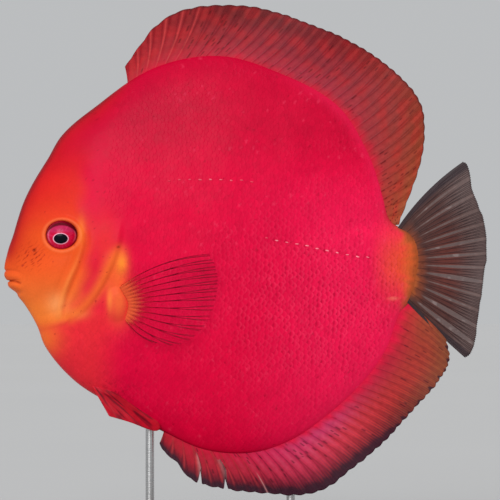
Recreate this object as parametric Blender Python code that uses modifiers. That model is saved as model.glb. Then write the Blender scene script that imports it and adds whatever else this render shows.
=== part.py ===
"""A life-size red discus fish, swimming, held over a flat base by two slim rods.

Run it with: blender --background --python part.py, or from Blender's text editor.

The fish faces -X, its back is +Z and its left side is -Y. Its flesh is one flat lens, round in outline,
that is parted with thin cuts into head, gill covers, torso and tail root. Each fin is a ridged sheet whose
root is sunk into the flesh and cut back to leave a narrow gap. Lengths are in metres, bearings in degrees:
they turn about the middle of the disc, from the tail (0) over the back (90) to the mouth (180).
"""

import math

import bmesh
import bpy
from mathutils import Matrix, Vector

MM = 0.001
GAP = 0.3 * MM

# Middle of the disc, over the floor
CENTRE_X = -7.0 * MM
CENTRE_Z = 102.0 * MM

# Outline of the flesh: bearing, radius in millimetres
OUTLINE = (
    (1.5, 68.2),
    (6.5, 65.8),
    (11.0, 59.5),
    (19.0, 58.9),
    (37.5, 62.2),
    (52.0, 65.6),
    (73.0, 66.7),
    (91.0, 69.8),
    (109.0, 70.2),
    (129.0, 68.8),
    (144.0, 70.8),
    (152.0, 70.6),
    (165.0, 72.8),
    (174.0, 74.3),
    (179.5, 76.2),
    (184.0, 77.4),
    (188.0, 76.2),
    (194.0, 72.2),
    (200.5, 70.3),
    (207.0, 70.6),
    (220.0, 68.6),
    (235.0, 65.2),
    (250.0, 65.4),
    (265.0, 68.8),
    (282.0, 69.9),
    (306.0, 66.4),
    (330.0, 65.6),
    (341.0, 64.6),
    (346.5, 67.4),
    (354.0, 68.6),
)

# Half thickness of the lens: place along the fish from the middle of the disc, half thickness, millimetres
HALF_WIDTHS = (
    (-80.0, 14.0),
    (-62.0, 17.0),
    (-45.0, 17.2),
    (-25.0, 14.8),
    (0.0, 13.6),
    (22.0, 12.2),
    (42.0, 10.0),
    (70.0, 8.0),
)
RIM_HALF = 0.9 * MM
RIM_POWER = 24
THINNEST = 0.1 * MM
FACE_BLUNTNESS = 0.5
BODY_BLUNTNESS = 0.75
FACE_BLEND = (1.25, -0.1)
SPOKES = 60
RINGS = 22

# Edge of the head, from the nape down the gill cover's free edge to the throat, from the middle of the disc
HEAD_EDGE = (
    (-48.0, 62.0),
    (-45.0, 54.0),
    (-41.0, 40.0),
    (-37.5, 23.0),
    (-35.8, 10.0),
    (-36.6, 3.0),
    (-39.8, -5.5),
    (-44.0, -13.0),
    (-49.5, -19.6),
    (-56.0, -23.6),
    (-63.0, -25.6),
    (-78.0, -27.5),
)
# The rest of a block round the head, in front of that edge
HEAD_BLOCK = ((-120.0, -30.0), (-120.0, 80.0), (-50.0, 90.0))
# Front edge of the gill cover, from its top to the throat
CHEEK_EDGE = (
    (-47.6, 13.0),
    (-48.6, 5.0),
    (-51.8, -4.0),
    (-55.0, -14.0),
    (-56.0, -19.6),
)
GILL_TOP_REAR = (-39.8 * MM, 12.5 * MM)
GILL_REACH_DOWN = 3.0 * MM
GILL_OPENING = (4.0 * MM, -1.2 * MM)
GILL_BLOCK_DEPTH = 30.0 * MM
GILL_THICKNESS = 2.2 * MM
GILL_RAISE = 1.0 * MM
GILL_RAISE_FROM = -53.0 * MM
GILL_RAISE_OVER = 15.0 * MM

# Tail root: a round cut, centre and radius from the middle of the disc
TAIL_CUT_CENTRE = (73.0 * MM, -2.5 * MM)
TAIL_CUT_RADIUS = 18.5 * MM
TAIL_CUT_STEPS = 48

# Eye, from the middle of the disc
EYE_X = -56.7 * MM
EYE_Z = 6.9 * MM
EYE_RADIUS = 5.5 * MM
EYE_HALF_DEPTH = 4.0 * MM
EYE_BULGE = 1.9 * MM
BROW_RADIUS = 6.3 * MM
BROW_TUBE = 1.0 * MM
BROW_SINK = 0.5 * MM
BROW_TURN = 12.0

# Mouth and nostrils, from the middle of the disc
UPPER_LIP = (-74.0 * MM, -7.3 * MM)
LOWER_LIP = (-72.2 * MM, -10.9 * MM)
LIP_SIZES = (3.7 * MM, 4.6 * MM, 1.8 * MM)
MOUTH_SLIT = (4.4 * MM, 6.6 * MM, 0.4 * MM)
MOUTH_SLIT_AT = (-76.4 * MM, -9.1 * MM)
NOSTRIL_AT = (-67.0 * MM, 1.0 * MM)
NOSTRIL_RADIUS = 0.75 * MM

# Fins
ROOT_SINK = 3.0 * MM
MEMBRANE_HALF = 0.27 * MM
RIDGE = 0.24 * MM
ROOT_HALF = 0.85 * MM
SERRATION = 0.5 * MM
RAY_STEPS = (0.0, 0.2, 0.45, 0.72, 1.0)

# Dorsal fin: base bearings, then the bearing each ray's tip reaches, then the margin's radius at a bearing
DORSAL_RAYS = 40
DORSAL_BASE = (121.0, 11.5)
DORSAL_TIPS = ((0.0, 118.0), (0.13, 98.5), (0.4, 71.6), (0.68, 44.0), (0.92, 24.0), (1.0, 12.0))
DORSAL_MARGIN = (
    (10.0, 61.0),
    (14.0, 64.4),
    (19.7, 69.9),
    (28.0, 78.8),
    (33.0, 83.4),
    (37.0, 86.4),
    (42.0, 87.6),
    (55.0, 87.2),
    (69.0, 86.3),
    (85.0, 87.6),
    (101.0, 86.8),
    (107.0, 83.7),
    (112.0, 79.3),
    (118.0, 74.6),
    (122.0, 71.2),
)

# Anal fin, in the same form, counted down from the tail
ANAL_RAYS = 37
ANAL_BASE = (250.5, 341.5)
ANAL_TIPS = (
    (0.0, 250.8),
    (0.1, 262.0),
    (0.3, 286.0),
    (0.55, 311.5),
    (0.78, 328.8),
    (0.93, 338.5),
    (1.0, 342.2),
)
ANAL_MARGIN = (
    (250.0, 68.5),
    (252.5, 72.0),
    (256.5, 74.4),
    (261.0, 79.3),
    (266.0, 81.2),
    (271.0, 82.2),
    (280.0, 85.0),
    (291.5, 89.2),
    (301.0, 87.1),
    (311.0, 86.0),
    (319.0, 85.3),
    (330.0, 87.0),
    (335.0, 86.6),
    (338.0, 82.6),
    (340.0, 75.6),
    (342.5, 69.4),
)
TORN_VALLEYS = {3: 4.0 * MM, 5: 6.0 * MM, 9: 3.0 * MM}
MEDIAN_BOW = 0.04
FIN_WAVE = 0.6 * MM
FIN_WAVES = 3.0

# Tail fin: its rays fan from a focus inside the tail root
TAIL_FOCUS = (49.7 * MM, -2.8 * MM)
TAIL_RAYS = 18
TAIL_BASE = ((-44.0, 19.4), (-20.0, 19.0), (0.0, 17.6), (25.0, 16.4), (46.5, 15.8))
TAIL_MARGIN = (
    (-44.0, 47.6),
    (-41.0, 48.3),
    (-34.4, 46.1),
    (-27.7, 43.9),
    (-20.5, 42.4),
    (-12.8, 41.6),
    (-5.1, 41.4),
    (2.4, 42.0),
    (14.6, 43.1),
    (28.4, 44.2),
    (34.9, 45.2),
    (41.6, 48.2),
    (45.0, 49.4),
    (46.5, 49.0),
)
TAIL_BOW = 0.02
TAIL_WAVE = 1.0 * MM
TAIL_WAVES = 2.0
TAIL_WAVE_START = 0.6

# Pectoral fin, from the middle of the disc, millimetres
LOBE_AT = (-38.4 * MM, -17.2 * MM)
LOBE_SIZES = (4.6 * MM, 2.6 * MM, 6.6 * MM)
PECTORAL_RAYS = 12
PECTORAL_BASE = ((0.0, -37.0, -11.6), (1.0, -35.6, -23.2))
PECTORAL_TIPS = (
    (0.0, -4.4, 0.2),
    (0.12, -2.4, -3.6),
    (0.3, -2.0, -11.0),
    (0.5, -3.6, -18.8),
    (0.66, -6.8, -25.0),
    (0.78, -11.4, -29.8),
    (0.88, -16.8, -31.6),
    (1.0, -26.0, -29.4),
)
PECTORAL_SEAT = 0.4 * MM
PECTORAL_SPREAD = 0.22
PECTORAL_CURL = 0.25
PECTORAL_BOW = 0.06
PECTORAL_STRAIGHT_AT = 0.35

# Pelvic fin, from the middle of the disc, millimetres
PELVIC_RAYS = 6
PELVIC_BASE = ((0.0, -47.2, -44.4), (1.0, -43.4, -44.6))
PELVIC_TIPS = (
    (0.0, -40.4, -56.2),
    (0.3, -33.0, -58.4),
    (0.6, -24.6, -61.4),
    (0.8, -22.6, -59.6),
    (1.0, -26.6, -54.6),
)
PELVIC_SINK = 1.6 * MM
PELVIC_LIFT = 1.3 * MM
PELVIC_FLARE = 2.2 * MM
PELVIC_LIFT_BY = 0.3
PELVIC_INSIDE = 0.97

# Stand
BASE_LENGTH = 124.0 * MM
BASE_WIDTH = 78.0 * MM
BASE_HEIGHT = 10.0 * MM
BASE_CORNER = 14.0 * MM
BASE_BEVEL = 1.5 * MM
ROD_RADIUS = 1.5 * MM
FOOT_RADIUS = 4.5 * MM
FOOT_HEIGHT = 2.0 * MM
ROD_SIDES = 20
FRONT_ROD = (-26.3 * MM, 0.0)
REAR_ROD = (23.0 * MM, 3.5 * MM)
ROD_TOP = 58.0 * MM


def remove_everything():
    for thing in list(bpy.data.objects):
        bpy.data.objects.remove(thing, do_unlink=True)


def new_collection(name):
    made = bpy.data.collections.new(name)
    bpy.context.scene.collection.children.link(made)
    return made


def move_to(thing, collection):
    for home in list(thing.users_collection):
        home.objects.unlink(thing)
    collection.objects.link(thing)


def material(name, colour, roughness, metallic=0.0):
    made = bpy.data.materials.new(name)
    made.use_nodes = True
    shader = made.node_tree.nodes["Principled BSDF"]
    shader.inputs["Base Color"].default_value = (*colour, 1.0)
    shader.inputs["Roughness"].default_value = roughness
    shader.inputs["Metallic"].default_value = metallic
    return made


def smooth(stations, at):
    """Values at a place on a smooth curve through stations, each (place, value, ...), in rising order."""
    last = len(stations) - 1
    i = 0
    while i < last - 1 and at > stations[i + 1][0]:
        i += 1
    before, start, end, after = (stations[max(0, min(last, k))] for k in (i - 1, i, i + 1, i + 2))
    span = end[0] - start[0]
    t = max(0.0, min(1.0, (at - start[0]) / span))
    values = []
    for k in range(1, len(start)):
        leave = (end[k] - before[k]) / (end[0] - before[0]) * span
        arrive = (after[k] - start[k]) / (after[0] - start[0]) * span
        values.append(
            start[k] * (1 + 2 * t) * (1 - t) ** 2
            + end[k] * t * t * (3 - 2 * t)
            + leave * t * (1 - t) ** 2
            - arrive * t * t * (1 - t)
        )
    return values


ROUND_OUTLINE = (
    [(b - 360.0, r) for b, r in OUTLINE[-3:]] + list(OUTLINE) + [(b + 360.0, r) for b, r in OUTLINE[:3]]
)


def outline_radius(bearing):
    return smooth(ROUND_OUTLINE, bearing % 360.0)[0] * MM


def ramp(value):
    """0 below 0, 1 above 1, and smooth between."""
    t = max(0.0, min(1.0, value))
    return t * t * (3 - 2 * t)


def half_thickness(x, z, grow=0.0, raised=0.0):
    """Half the flesh's thickness at a place in its plane, from the middle of the disc."""
    bearing = math.degrees(math.atan2(z, x))
    share = min(1.0, math.hypot(x, z) / (outline_radius(bearing) + grow))
    forward = ramp(-math.cos(math.radians(bearing)) * FACE_BLEND[0] + FACE_BLEND[1])
    bluntness = BODY_BLUNTNESS + (FACE_BLUNTNESS - BODY_BLUNTNESS) * forward
    core = smooth(HALF_WIDTHS, x / MM)[0] * MM
    rim = math.sqrt(1 - share**RIM_POWER)
    return max(THINNEST * rim, core * (1 - share * share) ** bluntness + (RIM_HALF + grow + raised) * rim)


def in_place(x, y, z):
    """A point of the fish, given from the middle of the disc, in the stand's frame."""
    return Vector((CENTRE_X + x, y, CENTRE_Z + z))


def mesh_object(name, bm, collection):
    mesh = bpy.data.meshes.new(name)
    bm.to_mesh(mesh)
    bm.free()
    made = bpy.data.objects.new(name, mesh)
    collection.objects.link(made)
    return made


def flesh(name, collection, grow=0.0, gill=False):
    """The whole body as a lens, made from a sphere whose equator becomes the outline."""
    bm = bmesh.new()
    bmesh.ops.create_uvsphere(bm, u_segments=SPOKES, v_segments=RINGS, radius=1.0)
    for v in bm.verts:
        bearing = math.degrees(math.atan2(v.co.y, v.co.x))
        reach = math.hypot(v.co.x, v.co.y) * (outline_radius(bearing) + grow)
        x = reach * math.cos(math.radians(bearing))
        z = reach * math.sin(math.radians(bearing))
        raised = GILL_RAISE * ramp((x - GILL_RAISE_FROM) / GILL_RAISE_OVER) if gill else 0.0
        thick = half_thickness(x, z, grow, raised)
        side = 0.0 if abs(v.co.z) < 1e-6 else math.copysign(1.0, v.co.z)
        v.co = in_place(x, -side * thick, z)
    return mesh_object(name, bm, collection)


def prism(name, corners, collection, deep=60.0 * MM, shift=0.0):
    """A flat outline, given in metres from the middle of the disc, as a block through the fish."""
    bm = bmesh.new()
    loop = [bm.verts.new(in_place(x, shift - deep / 2, z)) for x, z in corners]
    face = bm.faces.new(loop)
    pushed = bmesh.ops.extrude_face_region(bm, geom=[face])["geom"]
    for v in pushed:
        if isinstance(v, bmesh.types.BMVert):
            v.co.y += deep
    bmesh.ops.recalc_face_normals(bm, faces=bm.faces)
    return mesh_object(name, bm, collection)


def moved_line(points, by):
    """An open line of points in millimetres, in metres, moved sideways to the left of its run."""
    flat = [Vector((x * MM, z * MM)) for x, z in points]
    moved = []
    for i, p in enumerate(flat):
        run = (flat[min(i + 1, len(flat) - 1)] - flat[max(i - 1, 0)]).normalized()
        moved.append((p.x - run.y * by, p.y + run.x * by))
    return moved


def ellipsoid(name, centre, sizes, collection, segments=24, rings=16):
    bm = bmesh.new()
    bmesh.ops.create_uvsphere(bm, u_segments=segments, v_segments=rings, radius=1.0)
    for v in bm.verts:
        v.co = Vector(centre) + Vector((v.co.x * sizes[0], v.co.y * sizes[1], v.co.z * sizes[2]))
    return mesh_object(name, bm, collection)


def carve(target, tool, operation):
    """Applies one Boolean with a mesh object and leaves the tool as it is."""
    modifier = target.modifiers.new(operation, "BOOLEAN")
    modifier.operation = operation
    modifier.object = tool
    modifier.solver = "EXACT"
    settle(target)


def settle(target):
    """Replaces an object's mesh with its evaluated one."""
    bpy.context.view_layer.update()
    evaluated = target.evaluated_get(bpy.context.evaluated_depsgraph_get())
    mesh = bpy.data.meshes.new_from_object(evaluated)
    target.modifiers.clear()
    target.data = mesh


def keep_largest(target):
    """Drops every closed surface but the one that spans the most."""
    bm = bmesh.new()
    bm.from_mesh(target.data)
    bmesh.ops.triangulate(bm, faces=bm.faces)
    bm.verts.ensure_lookup_table()
    left = set(bm.verts)
    pieces = []
    while left:
        piece = {left.pop()}
        edge = list(piece)
        while edge:
            near = {e.other_vert(v) for v in edge for e in v.link_edges} & left
            left -= near
            piece |= near
            edge = list(near)
        pieces.append(piece)
    pieces.sort(key=len)
    loose = [v for piece in pieces[:-1] for v in piece]
    bmesh.ops.delete(bm, geom=loose, context="VERTS")
    bm.to_mesh(target.data)
    bm.free()


def bake_smooth(target, degrees=35.0):
    target.data.shade_smooth()
    target.data.set_sharp_from_angle(angle=math.radians(degrees))


def finish(target, look):
    target.data.materials.clear()
    target.data.materials.append(look)
    bake_smooth(target)


def sheet(name, columns, halves, middles, collection):
    """A thin closed fin from a grid of places in the fish's plane, split alike on both faces."""
    bm = bmesh.new()
    faces = []
    for side in (-1, 1):
        faces.append(
            [
                [bm.verts.new(in_place(p[0], m + side * h, p[1])) for p, h, m in zip(*lines)]
                for lines in zip(columns, halves, middles)
            ]
        )
    near, far = faces
    across, along = len(columns), len(columns[0])
    for i in range(across - 1):
        for j in range(along - 1):
            for grid, turn in ((near, 1), (far, -1)):
                a, b, c, d = grid[i][j], grid[i + 1][j], grid[i + 1][j + 1], grid[i][j + 1]
                bm.faces.new((a, b, c)[::turn])
                bm.faces.new((a, c, d)[::turn])
    border = (
        [(i, 0) for i in range(across)]
        + [(across - 1, j) for j in range(1, along)]
        + [(i, along - 1) for i in range(across - 2, -1, -1)]
        + [(0, j) for j in range(along - 2, 0, -1)]
    )
    for (i, j), (k, m) in zip(border, border[1:] + border[:1]):
        bm.faces.new((near[k][m], near[i][j], far[i][j]))
        bm.faces.new((near[k][m], far[i][j], far[k][m]))
    bmesh.ops.recalc_face_normals(bm, faces=bm.faces)
    return mesh_object(name, bm, collection)


def ray_column(root, tip, bow=0.0):
    """Points of one ray from root to tip, bowed sideways by a share of its length."""
    run_x, run_z = tip[0] - root[0], tip[1] - root[1]
    points = []
    for t in RAY_STEPS:
        aside = bow * 4 * t * (1 - t)
        points.append((root[0] + run_x * t - run_z * aside, root[1] + run_z * t + run_x * aside))
    return points


def ray_halves(ridged):
    """Half thickness along a ray or along the membrane beside it."""
    edge = MEMBRANE_HALF + (RIDGE if ridged else 0.0)
    return [edge + (ROOT_HALF - MEMBRANE_HALF) * (1 - t) ** 2 for t in RAY_STEPS]


def polar(bearing, radius):
    return (radius * math.cos(math.radians(bearing)), radius * math.sin(math.radians(bearing)))


def median_fin(name, rays, base, tips, margin, bow, torn, collection):
    """A fin along the rim of the disc, from the first base bearing to the last."""
    columns, halves, middles = [], [], []
    for i in range(2 * rays - 1):
        u = i / (2 * rays - 2)
        ridged = i % 2 == 0
        root_bearing = base[0] + (base[1] - base[0]) * u
        tip_bearing = smooth(tips, u)[0]
        reach = smooth(margin, tip_bearing)[0] * MM - (0.0 if ridged else SERRATION + torn.get(i, 0.0))
        root = polar(root_bearing, outline_radius(root_bearing) - ROOT_SINK)
        columns.append(ray_column(root, polar(tip_bearing, reach), bow))
        halves.append(ray_halves(ridged))
        sway = -FIN_WAVE * math.sin(FIN_WAVES * math.tau * u)
        middles.append([sway * t * t for t in RAY_STEPS])
    return sheet(name, columns, halves, middles, collection)


def tail_fin(name, collection):
    columns, halves, middles = [], [], []
    for i in range(2 * TAIL_RAYS - 1):
        u = i / (2 * TAIL_RAYS - 2)
        ridged = i % 2 == 0
        bearing = TAIL_MARGIN[0][0] + (TAIL_MARGIN[-1][0] - TAIL_MARGIN[0][0]) * u
        root = polar(bearing, smooth(TAIL_BASE, bearing)[0] * MM - ROOT_SINK)
        reach = smooth(TAIL_MARGIN, bearing)[0] * MM - (0.0 if ridged else SERRATION)
        tip = polar(bearing, reach)
        column = ray_column(root, tip, TAIL_BOW * math.sin(math.radians(bearing)))
        columns.append([(x + TAIL_FOCUS[0], z + TAIL_FOCUS[1]) for x, z in column])
        halves.append(ray_halves(ridged))
        sway = TAIL_WAVE * math.sin(TAIL_WAVES * math.tau * u + TAIL_WAVE_START)
        middles.append([sway * t * t for t in RAY_STEPS])
    return sheet(name, columns, halves, middles, collection)


def pectoral_fin(name, side, collection):
    columns, halves, middles = [], [], []
    for i in range(2 * PECTORAL_RAYS - 1):
        u = i / (2 * PECTORAL_RAYS - 2)
        ridged = i % 2 == 0
        root = [v * MM for v in smooth(PECTORAL_BASE, u)]
        tip = [v * MM for v in smooth(PECTORAL_TIPS, u)]
        notch = 1.0 if ridged else 1.0 - SERRATION / math.dist(root, tip)
        tip = [r + (t - r) * notch for r, t in zip(root, tip)]
        column = ray_column(root, tip, PECTORAL_BOW * (u - PECTORAL_STRAIGHT_AT))
        rise = PECTORAL_SPREAD * math.dist(root, tip)
        seat = half_thickness(*root) + PECTORAL_SEAT
        columns.append(column)
        halves.append(ray_halves(ridged))
        middles.append([side * (seat + rise * t * (1.0 - PECTORAL_CURL * t)) for t in RAY_STEPS])
    return sheet(name, columns, halves, middles, collection)


def pelvic_fin(name, side, collection):
    columns, halves, middles = [], [], []
    for i in range(2 * PELVIC_RAYS - 1):
        u = i / (2 * PELVIC_RAYS - 2)
        ridged = i % 2 == 0
        root = [v * MM for v in smooth(PELVIC_BASE, u)]
        tip = [v * MM for v in smooth(PELVIC_TIPS, u)]
        notch = 1.0 if ridged else 1.0 - SERRATION / math.dist(root, tip)
        tip = [r + (t - r) * notch for r, t in zip(root, tip)]
        column = ray_column(root, tip)
        columns.append(column)
        halves.append(ray_halves(ridged))
        line = []
        for (x, z), t in zip(column, RAY_STEPS):
            inside = PELVIC_INSIDE * outline_radius(math.degrees(math.atan2(z, x))) / math.hypot(x, z)
            wall = half_thickness(x * min(1.0, inside), z * min(1.0, inside))
            lift = -PELVIC_SINK + (PELVIC_SINK + PELVIC_LIFT) * ramp(t / PELVIC_LIFT_BY) + PELVIC_FLARE * t * t
            line.append(side * (wall + lift))
        middles.append(line)
    return sheet(name, columns, halves, middles, collection)


def head_side(name, by, helpers):
    """A block round the head, its rear face along the head's edge moved back by a distance."""
    corners = [(x * MM, z * MM) for x, z in HEAD_BLOCK]
    return prism(name, moved_line(HEAD_EDGE, by) + corners, helpers)


def build_head(fish, helpers):
    """Head and gill covers, cut from the whole flesh along the gill covers' edges."""
    front = moved_line(HEAD_EDGE, -GAP / 2)
    cheek = [(x * MM, z * MM) for x, z in CHEEK_EDGE]
    lowest = cheek[-1]
    rear = [p for p in front if GILL_TOP_REAR[1] > p[1] > lowest[1] - GILL_REACH_DOWN and p[0] > lowest[0]]
    plate = cheek[::-1] + [GILL_TOP_REAR] + rear
    middle = Vector([sum(c) / len(plate) for c in zip(*plate)])
    opening = []
    for x, z in plate:
        out = (Vector((x, z)) - middle).normalized() * GAP
        back, down = GILL_OPENING if (x, z) in rear else (0.0, 0.0)
        opening.append((x + out.x + back, z + out.y + down))
    under_plate = flesh("under_plate", helpers, grow=-GILL_THICKNESS)
    under_gap = flesh("under_gap", helpers, grow=-GILL_THICKNESS - GAP)

    head = flesh("head", fish)
    carve(head, head_side("head_block", -GAP / 2, helpers), "INTERSECT")
    add_face(head, helpers)
    window = prism("gill_window", opening, helpers)
    carve(window, under_gap, "DIFFERENCE")
    carve(head, window, "DIFFERENCE")

    covers = []
    for name, side in (("gill_cover_left", -1), ("gill_cover_right", 1)):
        cover = flesh(name, fish, gill=True)
        block = prism(name + "_block", plate, helpers, GILL_BLOCK_DEPTH, side * (GILL_BLOCK_DEPTH / 2 + GAP))
        carve(cover, block, "INTERSECT")
        carve(cover, under_plate, "DIFFERENCE")
        keep_largest(cover)
        covers.append(cover)
    keep_largest(head)
    return head, covers


def add_face(head, helpers):
    """Lips, brow rims, eye sockets, mouth line and nostrils."""
    for name, at in (("upper_lip", UPPER_LIP), ("lower_lip", LOWER_LIP)):
        lip = ellipsoid(name, in_place(at[0], 0.0, at[1]), LIP_SIZES, helpers, 20, 12)
        carve(head, lip, "UNION")
    slit = ellipsoid("slit", in_place(MOUTH_SLIT_AT[0], 0.0, MOUTH_SLIT_AT[1]), MOUTH_SLIT, helpers, 20, 8)
    carve(head, slit, "DIFFERENCE")
    surface = half_thickness(EYE_X, EYE_Z)
    for side in (-1, 1):
        bpy.ops.mesh.primitive_torus_add(
            major_radius=BROW_RADIUS,
            minor_radius=BROW_TUBE,
            major_segments=28,
            minor_segments=8,
            location=in_place(EYE_X, side * (surface - BROW_SINK), EYE_Z),
            rotation=(math.radians(90.0), 0.0, side * math.radians(BROW_TURN)),
        )
        brow = bpy.context.object
        move_to(brow, helpers)
        carve(head, brow, "UNION")
        centre = in_place(EYE_X, side * (surface - EYE_HALF_DEPTH + EYE_BULGE), EYE_Z)
        sizes = (EYE_RADIUS + GAP, EYE_HALF_DEPTH + GAP, EYE_RADIUS + GAP)
        carve(head, ellipsoid("socket", centre, sizes, helpers, 24, 14), "DIFFERENCE")
        wall = half_thickness(*NOSTRIL_AT)
        centre = in_place(NOSTRIL_AT[0], side * wall, NOSTRIL_AT[1])
        carve(head, ellipsoid("nostril", centre, [NOSTRIL_RADIUS] * 3, helpers, 12, 8), "DIFFERENCE")


def add_lobes(target, helpers, grow=0.0):
    """The fleshy lobe behind each gill cover that carries the pectoral fin."""
    for side in (-1, 1):
        centre = in_place(LOBE_AT[0], side * (half_thickness(*LOBE_AT) - LOBE_SIZES[1] / 2), LOBE_AT[1])
        sizes = [size + grow for size in LOBE_SIZES]
        carve(target, ellipsoid("lobe", centre, sizes, helpers, 20, 12), "UNION")


def eye(name, side, collection):
    depth = half_thickness(EYE_X, EYE_Z) - EYE_HALF_DEPTH + EYE_BULGE
    centre = in_place(EYE_X, side * depth, EYE_Z)
    return ellipsoid(name, centre, (EYE_RADIUS, EYE_HALF_DEPTH, EYE_RADIUS), collection, 24, 14)


def tail_block(name, radius, collection):
    """A half round block about the tail, its curved side to the front."""
    x, z = TAIL_CUT_CENTRE
    corners = []
    for step in range(TAIL_CUT_STEPS + 1):
        turn = math.radians(90.0 + 180.0 * step / TAIL_CUT_STEPS)
        corners.append((x + radius * math.cos(turn), z + radius * math.sin(turn)))
    return prism(name, corners, collection)


def stand(collection, wood, steel, full):
    bpy.ops.mesh.primitive_cube_add(size=1.0, location=(0.0, 0.0, BASE_HEIGHT / 2))
    base = bpy.context.object
    base.name = "stand_base"
    base.data.transform(Matrix.Diagonal((BASE_LENGTH, BASE_WIDTH, BASE_HEIGHT, 1.0)))
    move_to(base, collection)
    bm = bmesh.new()
    bm.from_mesh(base.data)
    upright = [e for e in bm.edges if abs(e.verts[0].co.z - e.verts[1].co.z) > BASE_HEIGHT / 2]
    bmesh.ops.bevel(bm, geom=upright, offset=BASE_CORNER, segments=8, profile=0.5, affect="EDGES")
    top = [e for e in bm.edges if all(v.co.z > 0 for v in e.verts) and len(e.link_faces) == 2]
    top = [e for e in top if abs(e.link_faces[0].normal.z - e.link_faces[1].normal.z) > 0.5]
    bmesh.ops.bevel(bm, geom=top, offset=BASE_BEVEL, segments=3, profile=0.5, affect="EDGES")
    bm.to_mesh(base.data)
    bm.free()
    finish(base, wood)
    for name, (x, y) in (("stand_rod_front", FRONT_ROD), ("stand_rod_rear", REAR_ROD)):
        rod = turned_rod(name, collection)
        rod.data.transform(Matrix.Translation((CENTRE_X + x, y, 0.0)))
        carve(rod, full, "DIFFERENCE")
        keep_largest(rod)
        finish(rod, steel)


def turned_rod(name, collection):
    """A slim rod on a low round foot, from a turned profile."""
    low = BASE_HEIGHT + GAP
    profile = (
        (0.0, ROD_TOP),
        (ROD_RADIUS, ROD_TOP),
        (ROD_RADIUS, low + FOOT_HEIGHT * 1.6),
        (ROD_RADIUS * 1.5, low + FOOT_HEIGHT),
        (FOOT_RADIUS * 0.85, low + FOOT_HEIGHT * 0.8),
        (FOOT_RADIUS, low + FOOT_HEIGHT * 0.5),
        (FOOT_RADIUS, low),
        (0.0, low),
    )
    bm = bmesh.new()
    line = [bm.verts.new((x, 0.0, z)) for x, z in profile]
    for a, b in zip(line, line[1:]):
        bm.edges.new((a, b))
    rod = mesh_object(name, bm, collection)
    screw = rod.modifiers.new("turn", "SCREW")
    screw.steps = screw.render_steps = ROD_SIDES
    screw.use_merge_vertices = True
    screw.merge_threshold = 0.00001
    settle(rod)
    return rod


def main():
    remove_everything()
    fish = new_collection("discus_fish")
    helpers = new_collection("helpers")
    helpers.hide_render = True
    face_look = material("face", (0.86, 0.16, 0.02), 0.4)
    body_look = material("body", (0.76, 0.0, 0.03), 0.4)
    tail_look = material("tail_root", (0.8, 0.1, 0.02), 0.4)
    fin_look = material("fin", (0.3, 0.03, 0.03), 0.45)
    dark_look = material("tail_fin", (0.08, 0.06, 0.06), 0.5)
    clear_look = material("clear_fin", (0.5, 0.0, 0.03), 0.4)
    eye_look = material("eye", (0.55, 0.0, 0.06), 0.1)
    wood = material("wood", (0.06, 0.03, 0.02), 0.45)
    steel = material("steel", (0.6, 0.6, 0.6), 0.3, 1.0)

    grown = flesh("grown", helpers, grow=GAP)
    add_lobes(grown, helpers, GAP)
    head, covers = build_head(fish, helpers)
    finish(head, face_look)
    for cover in covers:
        finish(cover, face_look)

    torso = flesh("torso", fish)
    carve(torso, head_side("front", GAP / 2, helpers), "DIFFERENCE")
    carve(torso, tail_block("rear", TAIL_CUT_RADIUS + GAP, helpers), "DIFFERENCE")
    add_lobes(torso, helpers)
    keep_largest(torso)
    finish(torso, body_look)
    root = flesh("tail_root", fish)
    carve(root, tail_block("tail_side", TAIL_CUT_RADIUS, helpers), "INTERSECT")
    keep_largest(root)
    finish(root, tail_look)

    for name, side in (("eye_left", -1), ("eye_right", 1)):
        finish(eye(name, side, fish), eye_look)

    over = (DORSAL_RAYS, DORSAL_BASE, DORSAL_TIPS, DORSAL_MARGIN, -MEDIAN_BOW, {})
    under = (ANAL_RAYS, ANAL_BASE, ANAL_TIPS, ANAL_MARGIN, MEDIAN_BOW, TORN_VALLEYS)
    fins = [(tail_fin("tail_fin", fish), dark_look)]
    for name, shape in (("dorsal_fin", over), ("anal_fin", under)):
        fins.append((median_fin(name, *shape, fish), fin_look))
    for name, side in (("left", -1), ("right", 1)):
        fins.append((pectoral_fin("pectoral_fin_" + name, side, fish), clear_look))
        fins.append((pelvic_fin("pelvic_fin_" + name, side, fish), fin_look))
    for fin, look in fins:
        carve(fin, grown, "DIFFERENCE")
        keep_largest(fin)
        finish(fin, look)

    stand(fish, wood, steel, grown)
    for helper in list(helpers.objects):
        bpy.data.objects.remove(helper, do_unlink=True)


main()
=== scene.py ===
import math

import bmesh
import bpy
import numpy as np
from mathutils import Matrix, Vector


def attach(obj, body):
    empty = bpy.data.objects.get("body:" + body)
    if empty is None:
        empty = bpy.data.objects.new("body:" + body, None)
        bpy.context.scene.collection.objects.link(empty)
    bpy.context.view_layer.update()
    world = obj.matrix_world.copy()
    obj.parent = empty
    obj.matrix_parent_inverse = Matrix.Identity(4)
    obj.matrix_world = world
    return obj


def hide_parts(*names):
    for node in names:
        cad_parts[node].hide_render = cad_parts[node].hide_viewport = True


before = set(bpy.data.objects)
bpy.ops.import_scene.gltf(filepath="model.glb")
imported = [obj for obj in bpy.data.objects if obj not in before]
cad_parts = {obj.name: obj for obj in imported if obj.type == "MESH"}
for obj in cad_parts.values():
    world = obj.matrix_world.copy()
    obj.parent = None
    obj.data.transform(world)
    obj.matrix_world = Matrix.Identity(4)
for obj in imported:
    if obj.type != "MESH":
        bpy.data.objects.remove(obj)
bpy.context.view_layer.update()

# The looks of a life-size red discus fish on its display stand.
# One skin replaces the solids of flesh, finer fins replace the ridged ones, and both are painted by
# formulas written over places on the fish. Lengths are in millimetres until a mesh is made, and are
# measured from the middle of the disc unless a comment says otherwise. Bearings are in degrees from the
# tail over the back. Colours are display values of 0 to 255 until they are painted.

MM = 0.001
BODY = "root"
# Points of an eye closer than this are joined
WELD_WITHIN = 0.001

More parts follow.
